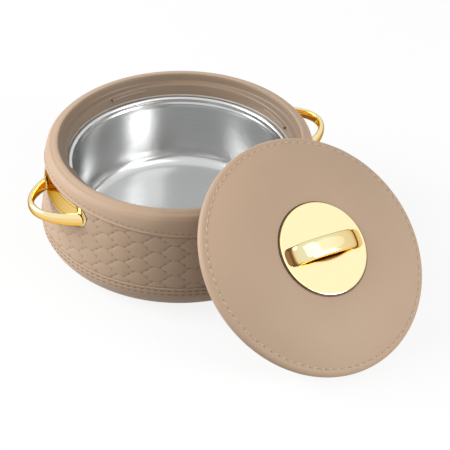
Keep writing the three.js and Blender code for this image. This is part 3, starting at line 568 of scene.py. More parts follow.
def row_of_beads(place_at, total, pitch, size, shift=0.0, slant=0.0, flat=1.0):
    """Beads at even steps along a closed seam: stitches, or the dimples of needle holes. place_at
    gives a point and its outward normal; size is a bead's half length and radius."""
    bm = bmesh.new()
    number = round(total / pitch)
    for i in range(number):
        part = (i + shift) / number
        point, normal = place_at(part)
        ahead, _ = place_at(part + AHEAD)
        along = Matrix.Rotation(slant, 3, normal) @ (ahead - point)
        capsule(bm, point, along, normal, *size, flat=flat)
    return bm


def sweep(section, stations):
    """A closed section carried along matrices, capped at both ends."""
    bm = bmesh.new()
    first = [bm.verts.new(stations[0] @ Vector((x, y, 0))) for x, y in section]
    loop = [bm.edges.new(pair) for pair in zip(first, first[1:] + first[:1])]
    bmesh.ops.contextual_create(bm, geom=loop)
    previous = stations[0]
    for station in stations[1:]:
        grown = bmesh.ops.extrude_edge_only(bm, edges=loop)["geom"]
        moved = [g for g in grown if isinstance(g, bmesh.types.BMVert)]
        loop = [g for g in grown if isinstance(g, bmesh.types.BMEdge)]
        bmesh.ops.transform(bm, matrix=station @ previous.inverted(), verts=moved)
        previous = station
    bmesh.ops.contextual_create(bm, geom=loop)
    return cleaned(bm)


def rounded_section(width, height, power=4.0, steps=40):
    """A rounded oblong, nearer to a box the higher the power."""
    points = []
    for i in range(steps):
        turn = FULL_TURN * i / steps
        c, s = math.cos(turn), math.sin(turn)
        points.append((
            width / 2 * math.copysign(abs(c) ** (2 / power), c),
            height / 2 * math.copysign(abs(s) ** (2 / power), s),
        ))
    return points


# Materials

# Sockets of a Mix node that mixes colours
MIX_A, MIX_B, MIX_RESULT = 6, 7, 2


def add_node(tree, kind, values=None, links=None, to=None, **options):
    """Adds a node with its options, values and incoming links, and leads its first output to a socket."""
    node = tree.nodes.new(kind)
    for key, value in options.items():
        setattr(node, key, value)
    for key, value in (values or {}).items():
        node.inputs[key].default_value = value
    for key, socket in (links or {}).items():
        tree.links.new(socket, node.inputs[key])
    if to is not None:
        tree.links.new(node.outputs[0], to)
    return node


def shader_of(name, values):
    """A new material with its principled shader, and the object coordinates that patterns read."""
    made = bpy.data.materials.new(name)
    made.use_nodes = True
    tree = made.node_tree
    tree.nodes.clear()
    shader = add_node(tree, "ShaderNodeBsdfPrincipled", values)
    add_node(tree, "ShaderNodeOutputMaterial", links={"Surface": shader.outputs["BSDF"]})
    where = add_node(tree, "ShaderNodeTexCoord").outputs["Object"]
    return made, tree, shader, where


def rgba(value):
    return (*value, 1.0)


def per_metre(millimetres):
    return 1 / (millimetres * MM)


def leatherette(name, main, deep, sewn=False):
    """Polyurethane leatherette: a soft satin skin with a fine pebbled grain that keeps it from
    looking like plastic. The real grain is near 0.5 mm; it is drawn coarser so that it shows.
    Where asked, a vertex attribute also darkens grooves, needle holes, seams and creases: painted shade."""
    made, tree, shader, where = shader_of(
        name, {"Roughness": 0.55, "Specular IOR Level": 0.35, "Sheen Weight": 0.12, "Sheen Roughness": 0.5}
    )
    cloudy = add_node(
        tree, "ShaderNodeTexNoise", {"Scale": per_metre(45), "Detail": 2.0}, {"Vector": where}
    )
    pebble = add_node(tree, "ShaderNodeTexVoronoi", {"Scale": per_metre(1.5)}, {"Vector": where})
    fine = add_node(
        tree, "ShaderNodeTexNoise", {"Scale": per_metre(2.2), "Detail": 3.0}, {"Vector": where}
    ).outputs["Fac"]
    worn = add_node(
        tree, "ShaderNodeMapRange", {"To Min": 0.0, "To Max": 0.1}, {"Value": cloudy.outputs["Fac"]}
    )
    shades = [worn.outputs["Result"]]
    # Painted shade: the vertex attribute darkens grooves, needle holes, the leatherette beside seams and
    # the pressed line towards the deep colour
    if sewn:
        shades.append(add_node(tree, "ShaderNodeAttribute", attribute_name="sewn").outputs["Fac"])
    colour_now = add_node(tree, "ShaderNodeRGB").outputs["Color"]
    colour_now.default_value = rgba(main)
    for shade in shades:
        mix = add_node(tree, "ShaderNodeMix", links={"Factor": shade}, data_type="RGBA")
        tree.links.new(colour_now, mix.inputs[MIX_A])
        mix.inputs[MIX_B].default_value = rgba(deep)
        colour_now = mix.outputs[MIX_RESULT]
    tree.links.new(colour_now, shader.inputs["Base Color"])
    grain = add_node(
        tree, "ShaderNodeMath", links={0: pebble.outputs["Distance"], 1: fine}, operation="ADD"
    ).outputs[0]
    add_node(
        tree, "ShaderNodeMapRange", {"To Min": 0.48, "To Max": 0.64},
        {"Value": fine}, to=shader.inputs["Roughness"],
    )
    add_node(
        tree, "ShaderNodeBump", {"Strength": 0.35, "Distance": 0.12 * MM},
        {"Height": grain}, to=shader.inputs["Normal"],
    )
    return made


def sewing_thread(name, tone):
    """Bonded polyester thread: matt, with a twist that breaks its light into short bands."""
    made, tree, shader, where = shader_of(name, {"Base Color": rgba(tone), "Roughness": 0.7})
    twist = add_node(
        tree, "ShaderNodeTexNoise", {"Scale": per_metre(0.8), "Detail": 1.0}, {"Vector": where}
    )
    add_node(
        tree, "ShaderNodeBump", {"Strength": 0.4, "Distance": 0.1 * MM},
        {"Height": twist.outputs["Fac"]}, to=shader.inputs["Normal"],
    )
    return made


def moulded_plastic(name, tone, roughness=0.42):
    """Injection-moulded polypropylene: an even satin surface with a fine spark-eroded texture."""
    made, tree, shader, where = shader_of(
        name, {"Base Color": rgba(tone), "Roughness": roughness, "IOR": 1.49}
    )
    eroded = add_node(
        tree, "ShaderNodeTexNoise", {"Scale": per_metre(1.2), "Detail": 3.0}, {"Vector": where}
    )
    add_node(
        tree, "ShaderNodeMapRange", {"To Min": roughness - 0.06, "To Max": roughness + 0.08},
        {"Value": eroded.outputs["Fac"]}, to=shader.inputs["Roughness"],
    )
    add_node(
        tree, "ShaderNodeBump", {"Strength": 0.12, "Distance": 0.05 * MM},
        {"Height": eroded.outputs["Fac"]}, to=shader.inputs["Normal"],
    )
    return made


def plated_gold(name, thin, rich, edge, deep):
    """Gold-coloured plating on polished die-cast metal: mirror-like and pale, browner at glancing
    angles, with a faint uneven polish. A vertex attribute runs its colour to richer and dark tones:
    painted reflection of dark surroundings and painted shade under the parts."""
    made, tree, shader, where = shader_of(
        name, {"Metallic": 1.0, "Roughness": 0.1, "Specular Tint": rgba(edge)}
    )
    # Painted reflection and shade: the attribute runs the colour from the plating's own tone to painted
    # richer and dark tones
    painted_amount = add_node(tree, "ShaderNodeAttribute", attribute_name="painted_reflection").outputs["Fac"]
    tint = add_node(tree, "ShaderNodeValToRGB", links={"Fac": painted_amount})
    tint.color_ramp.elements.new(0.5)
    for stop, tone in zip(tint.color_ramp.elements, (thin, rich, deep)):
        stop.color = rgba(tone)
    tree.links.new(tint.outputs["Color"], shader.inputs["Base Color"])
    polish = add_node(
        tree, "ShaderNodeTexNoise", {"Scale": per_metre(9), "Detail": 2.0}, {"Vector": where}
    )
    add_node(
        tree, "ShaderNodeMapRange", {"To Min": 0.06, "To Max": 0.13},
        {"Value": polish.outputs["Fac"]}, to=shader.inputs["Roughness"],
    )
    add_node(
        tree, "ShaderNodeBump", {"Strength": 0.04, "Distance": 0.2 * MM},
        {"Height": polish.outputs["Fac"]}, to=shader.inputs["Normal"],
    )
    return made


def spun_steel(name, tone):
    """Stainless steel spun on a lathe and polished: rings of fine turning marks run round the bowl."""
    made, tree, shader, where = shader_of(
        name, {"Base Color": rgba(tone), "Metallic": 1.0, "Roughness": 0.2}
    )
    flat = add_node(tree, "ShaderNodeSeparateXYZ", links={"Vector": where}).outputs
    across = add_node(tree, "ShaderNodeCombineXYZ", links={"X": flat["X"], "Y": flat["Y"]})
    radius = add_node(
        tree, "ShaderNodeVectorMath", links={0: across.outputs["Vector"]}, operation="LENGTH"
    )
    level = add_node(
        tree, "ShaderNodeMath", links={0: radius.outputs["Value"], 1: flat["Z"]}, operation="ADD"
    )
    rings = add_node(
        tree, "ShaderNodeTexNoise", {"Scale": per_metre(1.1), "Detail": 3.0},
        {"W": level.outputs[0]}, noise_dimensions="1D",
    )
    add_node(
        tree, "ShaderNodeMapRange", {"To Min": 0.14, "To Max": 0.3},
        {"Value": rings.outputs["Fac"]}, to=shader.inputs["Roughness"],
    )
    add_node(
        tree, "ShaderNodeBump", {"Strength": 0.1, "Distance": 0.05 * MM},
        {"Height": rings.outputs["Fac"]}, to=shader.inputs["Normal"],
    )
    return made


def dull_metal(name, tone):
    """Zinc plate: grey and slightly patchy."""
    made, tree, shader, where = shader_of(
        name, {"Base Color": rgba(tone), "Metallic": 1.0, "Roughness": 0.4}
    )
    patch = add_node(
        tree, "ShaderNodeTexNoise", {"Scale": per_metre(2.0), "Detail": 2.0}, {"Vector": where}
    )
    add_node(
        tree, "ShaderNodeMapRange", {"To Min": 0.3, "To Max": 0.5},
        {"Value": patch.outputs["Fac"]}, to=shader.inputs["Roughness"],
    )
    return made


def silicone_rubber(name, tone):
    """Moulded silicone: soft, pale and a little waxy, so light enters it slightly."""
    made, tree, shader, where = shader_of(
        name,
        {"Base Color": rgba(tone), "Roughness": 0.5, "IOR": 1.41, "Subsurface Weight": 0.1,
         "Subsurface Scale": 1.0 * MM},
    )
    dust = add_node(
        tree, "ShaderNodeTexNoise", {"Scale": per_metre(3.0), "Detail": 2.0}, {"Vector": where}
    )
    add_node(
        tree, "ShaderNodeMapRange", {"To Min": 0.42, "To Max": 0.58},
        {"Value": dust.outputs["Fac"]}, to=shader.inputs["Roughness"],
    )
    return made


def rigid_foam(name, tone):
    """Foamed polyurethane: matt and pitted with small cells."""
    made, tree, shader, where = shader_of(name, {"Base Color": rgba(tone), "Roughness": 0.9})
    cells = add_node(tree, "ShaderNodeTexVoronoi", {"Scale": per_metre(1.5)}, {"Vector": where})
    add_node(
        tree, "ShaderNodeBump", {"Strength": 0.6, "Distance": 0.4 * MM},
        {"Height": cells.outputs["Distance"]}, to=shader.inputs["Normal"],
    )
    return made


def shared(name, maker, *tones, **options):
    """The material of that name, made the first time it is asked for, in colours of the settings."""
    values = [getattr(settings().colours, tone) for tone in tones]
    return bpy.data.materials.get(name) or maker(name, *values, **options)


def leather_plain():
    return shared("Leatherette taupe", leatherette, "leather", "leather_mottle_and_shade")


# Leatherette whose vertex attribute paints shade into grooves, needle holes, seams and pressed lines
def leather_sewn():
    return shared("Leatherette taupe quilted", leatherette, "leather", "leather_mottle_and_shade", sewn=True)


def thread():
    return shared("Polyester thread", sewing_thread, "thread")


def shaded_thread():
    return shared("Polyester thread deep", sewing_thread, "thread_shaded")


def moulded():
    return shared("Moulded polypropylene", moulded_plastic, "moulded")


def base_plastic():
    return shared("Moulded base plastic", moulded_plastic, "base", roughness=0.5)


def gold():
    return shared("Gold plating", plated_gold, "gold", "gold_painted_reflection", "gold_edge", "gold_painted_shade")


def pale_gold():
    return shared("Gold plating pale", plated_gold, "knob", "knob_painted_reflection", "gold_edge", "gold_painted_shade")


def steel():
    return shared("Spun stainless steel", spun_steel, "steel")


def silicone():
    return shared("Silicone rubber", silicone_rubber, "silicone")


# The pot


def folded_hem(pot, edge, level, back):
    """Section of a folded edge that stands proud of the wall, up to its lip; back is the way, 1 up
    or -1 down, from the lip to the rest of the band."""
    steps = ((0.2 * MM, 1.4), (pot.hem, 0.8), (pot.hem - 0.05 * MM, 0.3), (-0.1 * MM, 0), (-pot.skin, 0.1))
    return [(edge + out, level + back * along * MM) for out, along in steps]


class BaseBand(bpy.types.Operator):
    """Plain leatherette band over the bulge, with two sunk rows of stitches and a folded hem"""

    bl_idname = "casserole.base_band"
    bl_label = "Base band"

    def execute(self, context):
        pot, stitch = settings().pot, settings().stitch
        outline = pot_outline(pot)
        top = pot.lower_seam
        rows = (top - stitch.below, top - stitch.below - stitch.apart)
        fine = rows[1] - 3 * MM
        outer = [p for p in outline if p[1] < fine]
        levels = 40
        hem_start = top - 1.5 * MM
        for i in range(levels):
            z = fine + (hem_start - fine) * i / levels
            sunk = max(bell(z - row, stitch.sunk_width) for row in rows)
            outer.append((radius_at(outline, z) + stitch.ridge * (0.5 - sunk), z))
        hem = folded_hem(pot, radius_at(outline, top), top, -1)
        inner = [(r - pot.skin, z + 0.4 * MM) for r, z in reversed(outer)]
        bm = spun(outer + hem + inner, ROUND)
        piece("base_band", bm, "casserole", leather_plain(), ["base_wrap"])
        return {"FINISHED"}


def pad_pitch():
    """Width of a column of pads."""
    return settings().pot.wall_top_radius * FULL_TURN / settings().quilt.columns


def pad_relief(quilt, across, height):
    """How far the quilting lies below its pads, and how much painted shade its groove and needle holes
    get, at a place. across is the distance round the wall from the first column of pads."""
    pitch = pad_pitch()
    half = quilt.row / 2
    slope = Vector((half, pitch - quilt.flat)).normalized()
    best = None
    column = round(across / pitch)
    for number in (column - 1, column, column + 1):
        low = quilt.start if number % 2 == 0 else quilt.start - half
        row = math.floor((height - low) / quilt.row)
        u = across - number * pitch
        v = height - low - (row + 0.5) * quilt.row
        flat = half - abs(v)
        diagonal = slope.x * (pitch - quilt.flat / 2 - abs(u)) - slope.y * abs(v)
        inside = min(flat, diagonal)
        if best is None or inside > best[0]:
            best = (inside, abs(u), abs(v))
    inside, u, v = best
    corners = (
        (quilt.flat / 2, half),
        (pitch - quilt.flat / 2, 0),
        (pitch / 2, half / 2),
    )
    hole = min(math.hypot(u - cu, v - cv) for cu, cv in corners)
    pit = bell(hole, quilt.pit_radius)
    groove = bell(inside, quilt.groove_half)
    depth = quilt.groove * groove + quilt.pit * pit + quilt.pillow * bell(inside, quilt.crown)
    return depth, min(1.0, quilt.groove_painted_shade * groove + quilt.pit_painted_shade * pit)


class QuiltedBand(bpy.types.Operator):
    """Quilted leatherette between the seams, with stitched six-sided pads"""

    bl_idname = "casserole.quilted_band"
    bl_label = "Quilted band"

    def execute(self, context):
        pot, quilt = settings().pot, settings().quilt
        outline = pot_outline(pot)
        low = pot.lower_seam - 1.0 * MM
        high = pot.upper_seam + quilt.tuck
        # The band is first a tall thin tube: its outer side then goes to the wall, its inner side behind
        outer, inner = 0.2, 0.1
        face = [(outer, low + (high - low) * i / quilt.rows) for i in range(quilt.rows + 1)]
        bm = spun(face + [(inner, high), (inner, low)], quilt.columns * quilt.detail)
        mark = bm.verts.layers.float.new("sewn")
        for vert in bm.verts:
            azimuth = math.atan2(vert.co.x, -vert.co.y)
            top = wave(pot, azimuth) + quilt.tuck
            z = low + (vert.co.z - low) * (top - low) / (high - low)
            radius = radius_at(outline, z)
            if vert.co.xy.length > (outer + inner) / 2:
                turned = (azimuth - quilt.turn) / FULL_TURN * quilt.columns - 0.5
                depth, dark = pad_relief(quilt, turned * pad_pitch(), z)
                radius -= 0.1 * MM + depth
                # Painted shade: the groove, the needle holes and the leatherette beside each seam darken
                fold = max(min(z - pot.lower_seam, wave(pot, azimuth) - z), 0.0)
                vert[mark] = min(1.0, dark + quilt.fold_painted_shade * bell(fold, quilt.fold))
            else:
                radius -= 2.0 * MM
            vert.co = around(azimuth, radius, z)
        bmesh.ops.recalc_face_normals(bm, faces=bm.faces)
        piece("quilted_band", bm, "casserole", leather_sewn(), ["quilted_wrap"])
        return {"FINISHED"}


class ShoulderBand(bpy.types.Operator):
    """Smooth leatherette from the waved seam over the shoulder into the mouth"""

    bl_idname = "casserole.shoulder_band"
    bl_label = "Shoulder band"

    def execute(self, context):
        pot = settings().pot
        outline = pot_outline(pot)
        low = pot.upper_seam
        fixed = pot.crown_height - pot.fixed_drop
        hem = folded_hem(pot, radius_at(outline, low), low, 1)[::-1]
        rise = [low + (fixed - low) * i / 10 for i in range(2, 10)]
        wall = [(radius_at(outline, z) + 0.05 * MM, z) for z in rise]
        over = [p for p in outline if p[1] > fixed and p[0] > pot.lip_radius + 0.1 * MM]
        inside = steps_from(pot.lip_radius, over[-1][1], (0, -0.2), (0.05, -0.8)) + [
            (pot.lip_radius + 1.4 * MM, pot.crown_height - pot.skin),
            (pot.shoulder_radius, pot.shoulder_height - pot.skin),
            (pot.wall_top_radius - 2.5 * MM, fixed),
        ]
        bm = spun(hem + wall + over + inside, ROUND)
        for vert in bm.verts:
            if vert.co.z >= fixed - 0.01 * MM:
                continue
            azimuth = math.atan2(vert.co.x, -vert.co.y)
            radius = vert.co.xy.length
            part = (fixed - vert.co.z) / (fixed - low)
            z = fixed - part * (fixed - wave(pot, azimuth))
            radius += radius_at(outline, z) - radius_at(outline, vert.co.z)
            vert.co = around(azimuth, radius, z)
        bmesh.ops.recalc_face_normals(bm, faces=bm.faces)
        piece("shoulder_band", bm, "casserole", leather_plain(), ["shoulder_wrap"])
        return {"FINISHED"}


class PotStitching(bpy.types.Operator):
    """Rows of stitches beside the pot's seams"""

    bl_idname = "casserole.pot_stitching"
    bl_label = "Pot stitching"

    def execute(self, context):
        pot, stitch = settings().pot, settings().stitch
        outline = pot_outline(pot)

        def on_wall(height_at):
            def place(part):
                azimuth = part * FULL_TURN
                z = height_at(azimuth)
                return around(azimuth, radius_at(outline, z) + stitch.proud, z), around(azimuth)
            return place

        girth = FULL_TURN * pot.wall_top_radius
        pitch, half = stitch.stitch + stitch.gap, stitch.stitch / 2
        first = pot.lower_seam - stitch.below
        rows = {
            "upper_seam_stitches": lambda a: wave(pot, a) + stitch.above,
            "lower_seam_stitches": lambda a: first,
            "base_band_stitches": lambda a: first - stitch.apart,
        }
        for name, height_at in rows.items():
            # The pot's stitches use the darker thread: painted shade of their sunk holes, on top of the
            # thread's tone
            bm = row_of_beads(on_wall(height_at), girth, pitch, (half, stitch.thread))
            piece(name, bm, "casserole", shaded_thread())

        def on_rim(part):
            radius, height = pot.lip_radius + stitch.rim_inset, pot.crown_height - stitch.rim_sink
            return around(part * FULL_TURN, radius, height), Vector((0, 0, 1))

        bm = row_of_beads(on_rim, FULL_TURN * pot.crown_radius, pitch, (half, stitch.rim_thread))
        piece("rim_stitches", bm, "casserole", thread())
        return {"FINISHED"}


class BaseCap(bpy.types.Operator):
    """Moulded cap under the pot, with a foot ring and a level middle"""

    bl_idname = "casserole.base_cap"
    bl_label = "Base cap"

    def execute(self, context):
        pot = settings().pot
        _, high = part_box("base_cap")
        outer = high.x
        points = (
            [(0, 0)]
            + steps_from(pot.sunk_inner, 0, (0, 0), (0.8, 0.3), (2.1, 1.1))
            + steps_from(pot.sunk_outer, 0, (-2.1, 1.1), (-0.8, 0.3), (0, 0))
            + steps_from(outer, 0, (-1, 0), (-0.3, 0.2), (0, 0.8), (0, 2.3), (-0.2, 2.5))
            + steps_from(outer - pot.cap_lip, 0, (0, 2.5))
            + [(outer - pot.cap_lip, high.z), (0, high.z)]
        )
        bm = spun(points, SMALL_ROUND, closed=False)
        piece("base_plate", bm, "casserole", base_plastic(), ["base_cap"],
              flat_over=50)
        return {"FINISHED"}


def catches(name, number, section, span, first, steps, body, place=None):
    """A ring of like catches: the collar's ramps or the lid's lugs."""
    for i in range(number):
        start = first + FULL_TURN * i / number - span / 2
        bm = spun(section, steps, turn=span, start=start)
        piece(f"{name}_{i + 1}", bm, body, moulded(), place=place,
              flat_over=50)


def catch_section(root, reach, low, high):
    """Section of a catch with its two corners broken."""
    corner = 0.5 * MM
    back = math.copysign(corner, root - reach)
    return [
        (root, low), (reach + back, low), (reach, low + corner),
        (reach, high - corner), (reach + back, high), (root, high),
    ]


class Collar(bpy.types.Operator):
    """Moulded collar in the mouth: the lid's ledge and the locking ramps below it"""

    bl_idname = "casserole.collar"
    bl_label = "Collar"

    def execute(self, context):
        pot, collar = settings().pot, settings().collar
        inner, mouth = collar.ledge_radius, pot.mouth_radius
        ledge, top, lower = collar.ledge_height, collar.top, collar.ledge_height - collar.wall
        points = (
            steps_from(inner, collar.bottom, (0.3, 0))
            + steps_from(inner, ledge, (0.1, -1.0), (0.4, -0.3), (1.0, 0))
            + steps_from(mouth, ledge, (-0.9, 0), (-0.35, 0.5), (-0.1, 2.0))
            + steps_from(mouth, top, (0.05, -0.9), (0.3, -0.25), (0.8, 0))
            + steps_from(pot.lip_radius, top, (-0.1, -0.1), (-0.05, -1.3))
            + steps_from(collar.outer, top, (0, -2.2))
            + [(collar.outer, lower), (inner + collar.wall, lower), (inner + collar.wall, collar.bottom)]
        )
        bm = spun(points, ROUND)
        piece("collar", bm, "casserole", moulded(), ["collar_ring"],
              flat_over=60)
        high = ledge - collar.ramp_drop
        section = catch_section(
            inner + 1.0 * MM, inner - collar.ramp_reach, high - collar.ramp_thickness, high
        )
        catches("locking_ramp", collar.ramps, section, collar.ramp_span, collar.ramp_turn - math.pi / 2,
                16, "casserole")
        return {"FINISHED"}


class SteelBowl(bpy.types.Operator):
    """Spun steel bowl with a rolled rim and a pressed ring below it"""

    bl_idname = "casserole.steel_bowl"
    bl_label = "Steel bowl"

    def execute(self, context):
        bowl = settings().bowl
        bead_radius = bowl.rim_radius - bowl.bead_wide
        bead_height = bowl.rim_top - bowl.bead
        mouth = bead_radius - bowl.bead_wide
        bead = rolled((bead_radius, bead_height), bowl.bead_wide, bowl.bead, 1.5 * math.pi, 14)
        run = bowl.side_radius - bowl.floor_radius
        rise = bowl.side_height - bowl.floor_height

        def side(offset):
            return curve(
                (
                    (bowl.floor_radius, bowl.floor_height - offset),
                    (bowl.floor_radius + CORNER_SHARE * run + offset, bowl.floor_height - offset),
                    (bowl.side_radius + offset, bowl.side_height - CORNER_SHARE * rise),
                    (bowl.side_radius + offset, bowl.side_height),
                ),
                steps=14,
            )

        ring = steps_from(
            mouth, bead_height,
            (0, -1.2), (-0.25, -2.6), (-1.1, -3.6), (-1.25, -4.6), (-1.0, -5.8), (-1.1, -8.0),
        )
        points = (
            [(0, bowl.floor_height - bowl.wall)]
            + side(bowl.wall)
            + [(mouth + bowl.wall, bead_height - bowl.bead)]
            + bead
            + ring
            + side(0)[::-1]
            + [(0, bowl.floor_height)]
        )
        bm = spun(points, ROUND, closed=False)
        piece("steel_bowl", bm, "casserole", steel(), ["inner_bowl"])
        return {"FINISHED"}


# Handles


def plate_dip(handle):
    """The waved half of the back plate's lower edge, from its middle to its rounded end."""
    end = handle.plate_half - handle.plate_end
    low = handle.height + handle.plate_top - 2 * handle.plate_end
    belly = handle.height - handle.plate_belly
    dip = handle.plate_dip * end
    return curve(((0, belly), (dip, belly), (dip, low), (end, low)), steps=48)


def plate_edges(handle, edge, t):
    """Lower and upper edge of the back plate at a distance t round the wall from its middle."""
    radius = handle.plate_end
    end = handle.plate_half - radius
    middle = handle.height + handle.plate_top - radius
    if abs(t) > end:
        half = math.sqrt(max(radius ** 2 - (abs(t) - end) ** 2, 0.0))
        return middle - half, middle + half
    return height_on(edge, abs(t)), middle + radius


def back_plate(handle, outline, girth):
    """A leaf-shaped plate with a raised edge, bent round the wall at +X."""
    columns, rows = 96, 28
    bm = bmesh.new()
    bmesh.ops.create_grid(bm, x_segments=columns, y_segments=rows, size=1.0)
    grown = bmesh.ops.extrude_face_region(bm, geom=list(bm.faces))["geom"]
    front = {v for v in grown if isinstance(v, bmesh.types.BMVert)}
    layer = bm.verts.layers.float.new("painted_reflection")
    dip = plate_dip(handle)
    for vert in bm.verts:
        u, v = vert.co.x, vert.co.y
        t = handle.plate_half * math.sin(0.5 * math.pi * u)
        low, high = plate_edges(handle, dip, t)
        z = low + (high - low) * (0.5 + 0.5 * math.sin(0.5 * math.pi * v))
        edge = min(z - low, high - z, (handle.plate_half - abs(t)) * END_SHARE)
        lift = -handle.plate_back
        if vert in front:
            across = max(edge, 0.0) / handle.rim_width
            if across < 1:
                side = handle.plate_depth + handle.rim_rise - handle.rim_foot
                round_off = math.sqrt(max(1 - (1 - min(across * 2, 1)) ** 2, 0))
                lift = handle.rim_foot + side * round_off
                if across > 0.5:
                    lift -= handle.rim_rise * (1 - math.cos(math.pi * (across - 0.5) * 2)) / 2
            else:
                lift = handle.plate_depth
        past = max(abs(t) - handle.plate_half + handle.plate_end, 0.0) / handle.plate_end
        radius = radius_at(outline, z) + handle.plate_gap + lift * (1 - handle.end_slope * past)
        azimuth = t / girth
        vert.co = (radius * math.cos(azimuth), radius * math.sin(azimuth), z)
        # Painted reflection: a richer tone on the face inside the raised edge, a brown line at the rim's
        # inner foot and a darker outer border, standing in for mirrored dark surroundings
        inside = edge / handle.rim_width
        face = smooth_step(0.85, 1.15, inside)
        line, border = bell(inside - 1.0, 0.3), bell(inside, 0.12)
        vert[layer] = PLATE_FACE_SHARE * face + PLATE_LINE_SHARE * line + PLATE_BORDER_SHARE * border
    return cleaned(bm)


def loop_strap(handle, pot, outline):
    """The strap bent out in a rounded loop, with its roots in the plate's ends."""
    wall = radius_at(outline, handle.height)
    root_x = wall * math.cos(math.asin(handle.root_spread / pot.wall_top_radius)) + 0.5 * MM
    nose_x = pot.widest_radius + handle.reach - handle.strap_thickness / 2
    spread = handle.root_spread
    arm = curve(
        (
            (root_x, spread),
            (root_x + ARM_SHARES[0] * handle.arm_run, spread - ARM_SHARES[1] * handle.arm_run),
            (nose_x, handle.nose_run),
            (nose_x, 0.0),
        ),
        steps=44,
    )
    path = [(x, -y) for x, y in arm] + [(x, y) for x, y in arm[::-1]][1:]
    stations = []
    turn = spread / pot.wall_top_radius
    for i, (x, y) in enumerate(path):
        before = path[max(i - 1, 0)]
        after = path[min(i + 1, len(path) - 1)]
        along = Vector((after[0] - before[0], after[1] - before[1], 0)).normalized()
        near = min(max(1 - (x - root_x) / handle.fillet, 0.0), 1.0)
        off_wall = Vector((math.cos(turn), math.copysign(math.sin(turn), y), 0))
        if i > len(path) / 2:
            off_wall.negate()
        along = along.lerp(off_wall, smooth_step(0.0, 1.0, near)).normalized()
        out = Vector((along.y, -along.x, 0))
        flare = 1 + handle.flare * (1 - math.sqrt(1 - near ** 2))
        root = smooth_step(ROOT_SHARE * spread, spread, abs(y))
        tall = Vector((0, 0, 1 + root * (handle.root_depth / handle.strap_depth - 1)))
        frame_now = Matrix((out * flare, tall, along)).transposed().to_4x4()
        level = handle.height - root * handle.root_drop
        stations.append(Matrix.Translation((x, y, level)) @ frame_now)
    section = rounded_section(handle.strap_thickness, handle.strap_depth, power=2.4, steps=56)
    return sweep(section, stations)


class LoopHandles(bpy.types.Operator):
    """Gold loop handles on their leaf-shaped back plates"""

    bl_idname = "casserole.loop_handles"
    bl_label = "Loop handles"

    def execute(self, context):
        pot, handle = settings().pot, settings().handle
        outline = pot_outline(pot)
        girth = pot.wall_top_radius
        for side, turn in (("right", 0.0), ("left", math.pi)):
            place = Matrix.Rotation(turn, 4, "Z")
            bm = back_plate(handle, outline, girth)
            piece(f"{side}_back_plate", bm, "casserole", gold(), place=place,
                  flat_over=70)
            bm = loop_strap(handle, pot, outline)
            middle = Vector((pot.widest_radius + 0.3 * handle.reach, 0))

            # Painted reflection: the strap's lower and inner faces get richer, browner tones, with a brown
            # line along the outer face, standing in for mirrored dark surroundings
            def strap_painted_reflection(co, normal):
                facing = normal.xy.dot((co.xy - middle).normalized())
                below = STRAP_TOP_SHARE + STRAP_BELOW_SHARE * smooth_step(0.12, -0.1, normal.z)
                line = STRAP_LINE_SHARE * bell(normal.z - 0.12, 0.07) * smooth_step(0.0, 0.5, facing)
                return max(below + line, STRAP_INSIDE_SHARE * smooth_step(-0.1, -0.6, facing))

            mark_painted_reflection(bm, strap_painted_reflection)
            piece(f"{side}_loop", bm, "casserole", gold(), [f"{side}_handle"], place=place,
                  flat_over=70)
        return {"FINISHED"}


# The lid


def lid_dome(lid, offset=0.0, steps=20):
    return curve(
        raised(
            (lid.seat_radius, lid.seat_height - offset),
            (lid.bulge_radius, lid.seat_height - offset),
            (lid.crease_radius, lid.crease_height - offset),
        ),
        steps=steps,
    )


class LidTop(bpy.types.Operator):
    """Leatherette dome of the lid, its rolled edge and a row of slanted stitches with needle holes"""

    bl_idname = "casserole.lid_top"
    bl_label = "Lid top"

    def execute(self, context):
        lid, knob, stitch = settings().lid, settings().knob, settings().stitch
        place = lid_place(lid)
        dome = lid_dome(lid)
        inner = knob.plate_radius - 0.2 * MM
        level = lid.seat_height
        seat = (
            [(0, level)]
            + steps_from(inner, level, (-1.0, 0), (0, 0), (0.3, -0.35))
            + steps_from(inner + knob.crease, level, (0, -0.35), (0.4, 0))
        )
        hem = steps_from(
            lid.crease_radius, lid.crease_height, (0.35, 0.02), (0.6, -0.25), (0.45, -0.6), (-1.5, -0.3)
        )
        under = [(r, z - lid.cover) for r, z in dome[:-3]][::-1]
        points = seat + dome + hem + under + [(0, level - settings().pot.skin)]
        bm = spun(points, ROUND, closed=False)
        # Painted shade in the pressed line round the knob's plate
        mark = bm.verts.layers.float.new("sewn")
        for vert in bm.verts:
            sunk = lid.seat_height - vert.co.z
            pressed = inner < vert.co.xy.length < inner + 2 * MM and 0.2 * MM < sunk < 0.6 * MM
            vert[mark] = PRESSED_LINE_SHADE if pressed else 0.0
        piece("lid_dome", bm, "lid", leather_sewn(), ["lid_cover"], place=place)

        middle = lid.radius - lid.edge
        roll = rolled((middle, 0), lid.edge, lid.edge, math.radians(190), 24)
        inside = steps_from(middle, 0, (0.4, 2.4), (2.0, 0), (0, -2.2), (-2.5, -2.2))
        inside += steps_from(middle, -lid.edge, (-2.5, 0))
        bm = spun(roll + inside, ROUND)
        piece("lid_rolled_edge", bm, "lid", leather_plain(), ["lid_edge_band"],
              place=place)

        radius = lid.stitch_radius
        level = height_on(dome, radius)

        def on_dome(part):
            azimuth = part * FULL_TURN
            return around(azimuth, radius, level), around(azimuth, *STITCH_SLOPE)

        girth, pitch = FULL_TURN * radius, stitch.lid_stitch + stitch.lid_gap
        size = (stitch.lid_stitch / 2, stitch.lid_thread)
        bm = row_of_beads(on_dome, girth, pitch, size, slant=stitch.slant)
        piece("lid_stitches", bm, "lid", thread(), place=place)
        # Needle holes: flattened beads of the darker thread that paint the shade in each hole
        bm = row_of_beads(on_dome, girth, pitch, (stitch.hole, stitch.hole), shift=0.5, flat=0.3)
        piece("lid_needle_holes", bm, "lid", shaded_thread(), place=place)
        return {"FINISHED"}


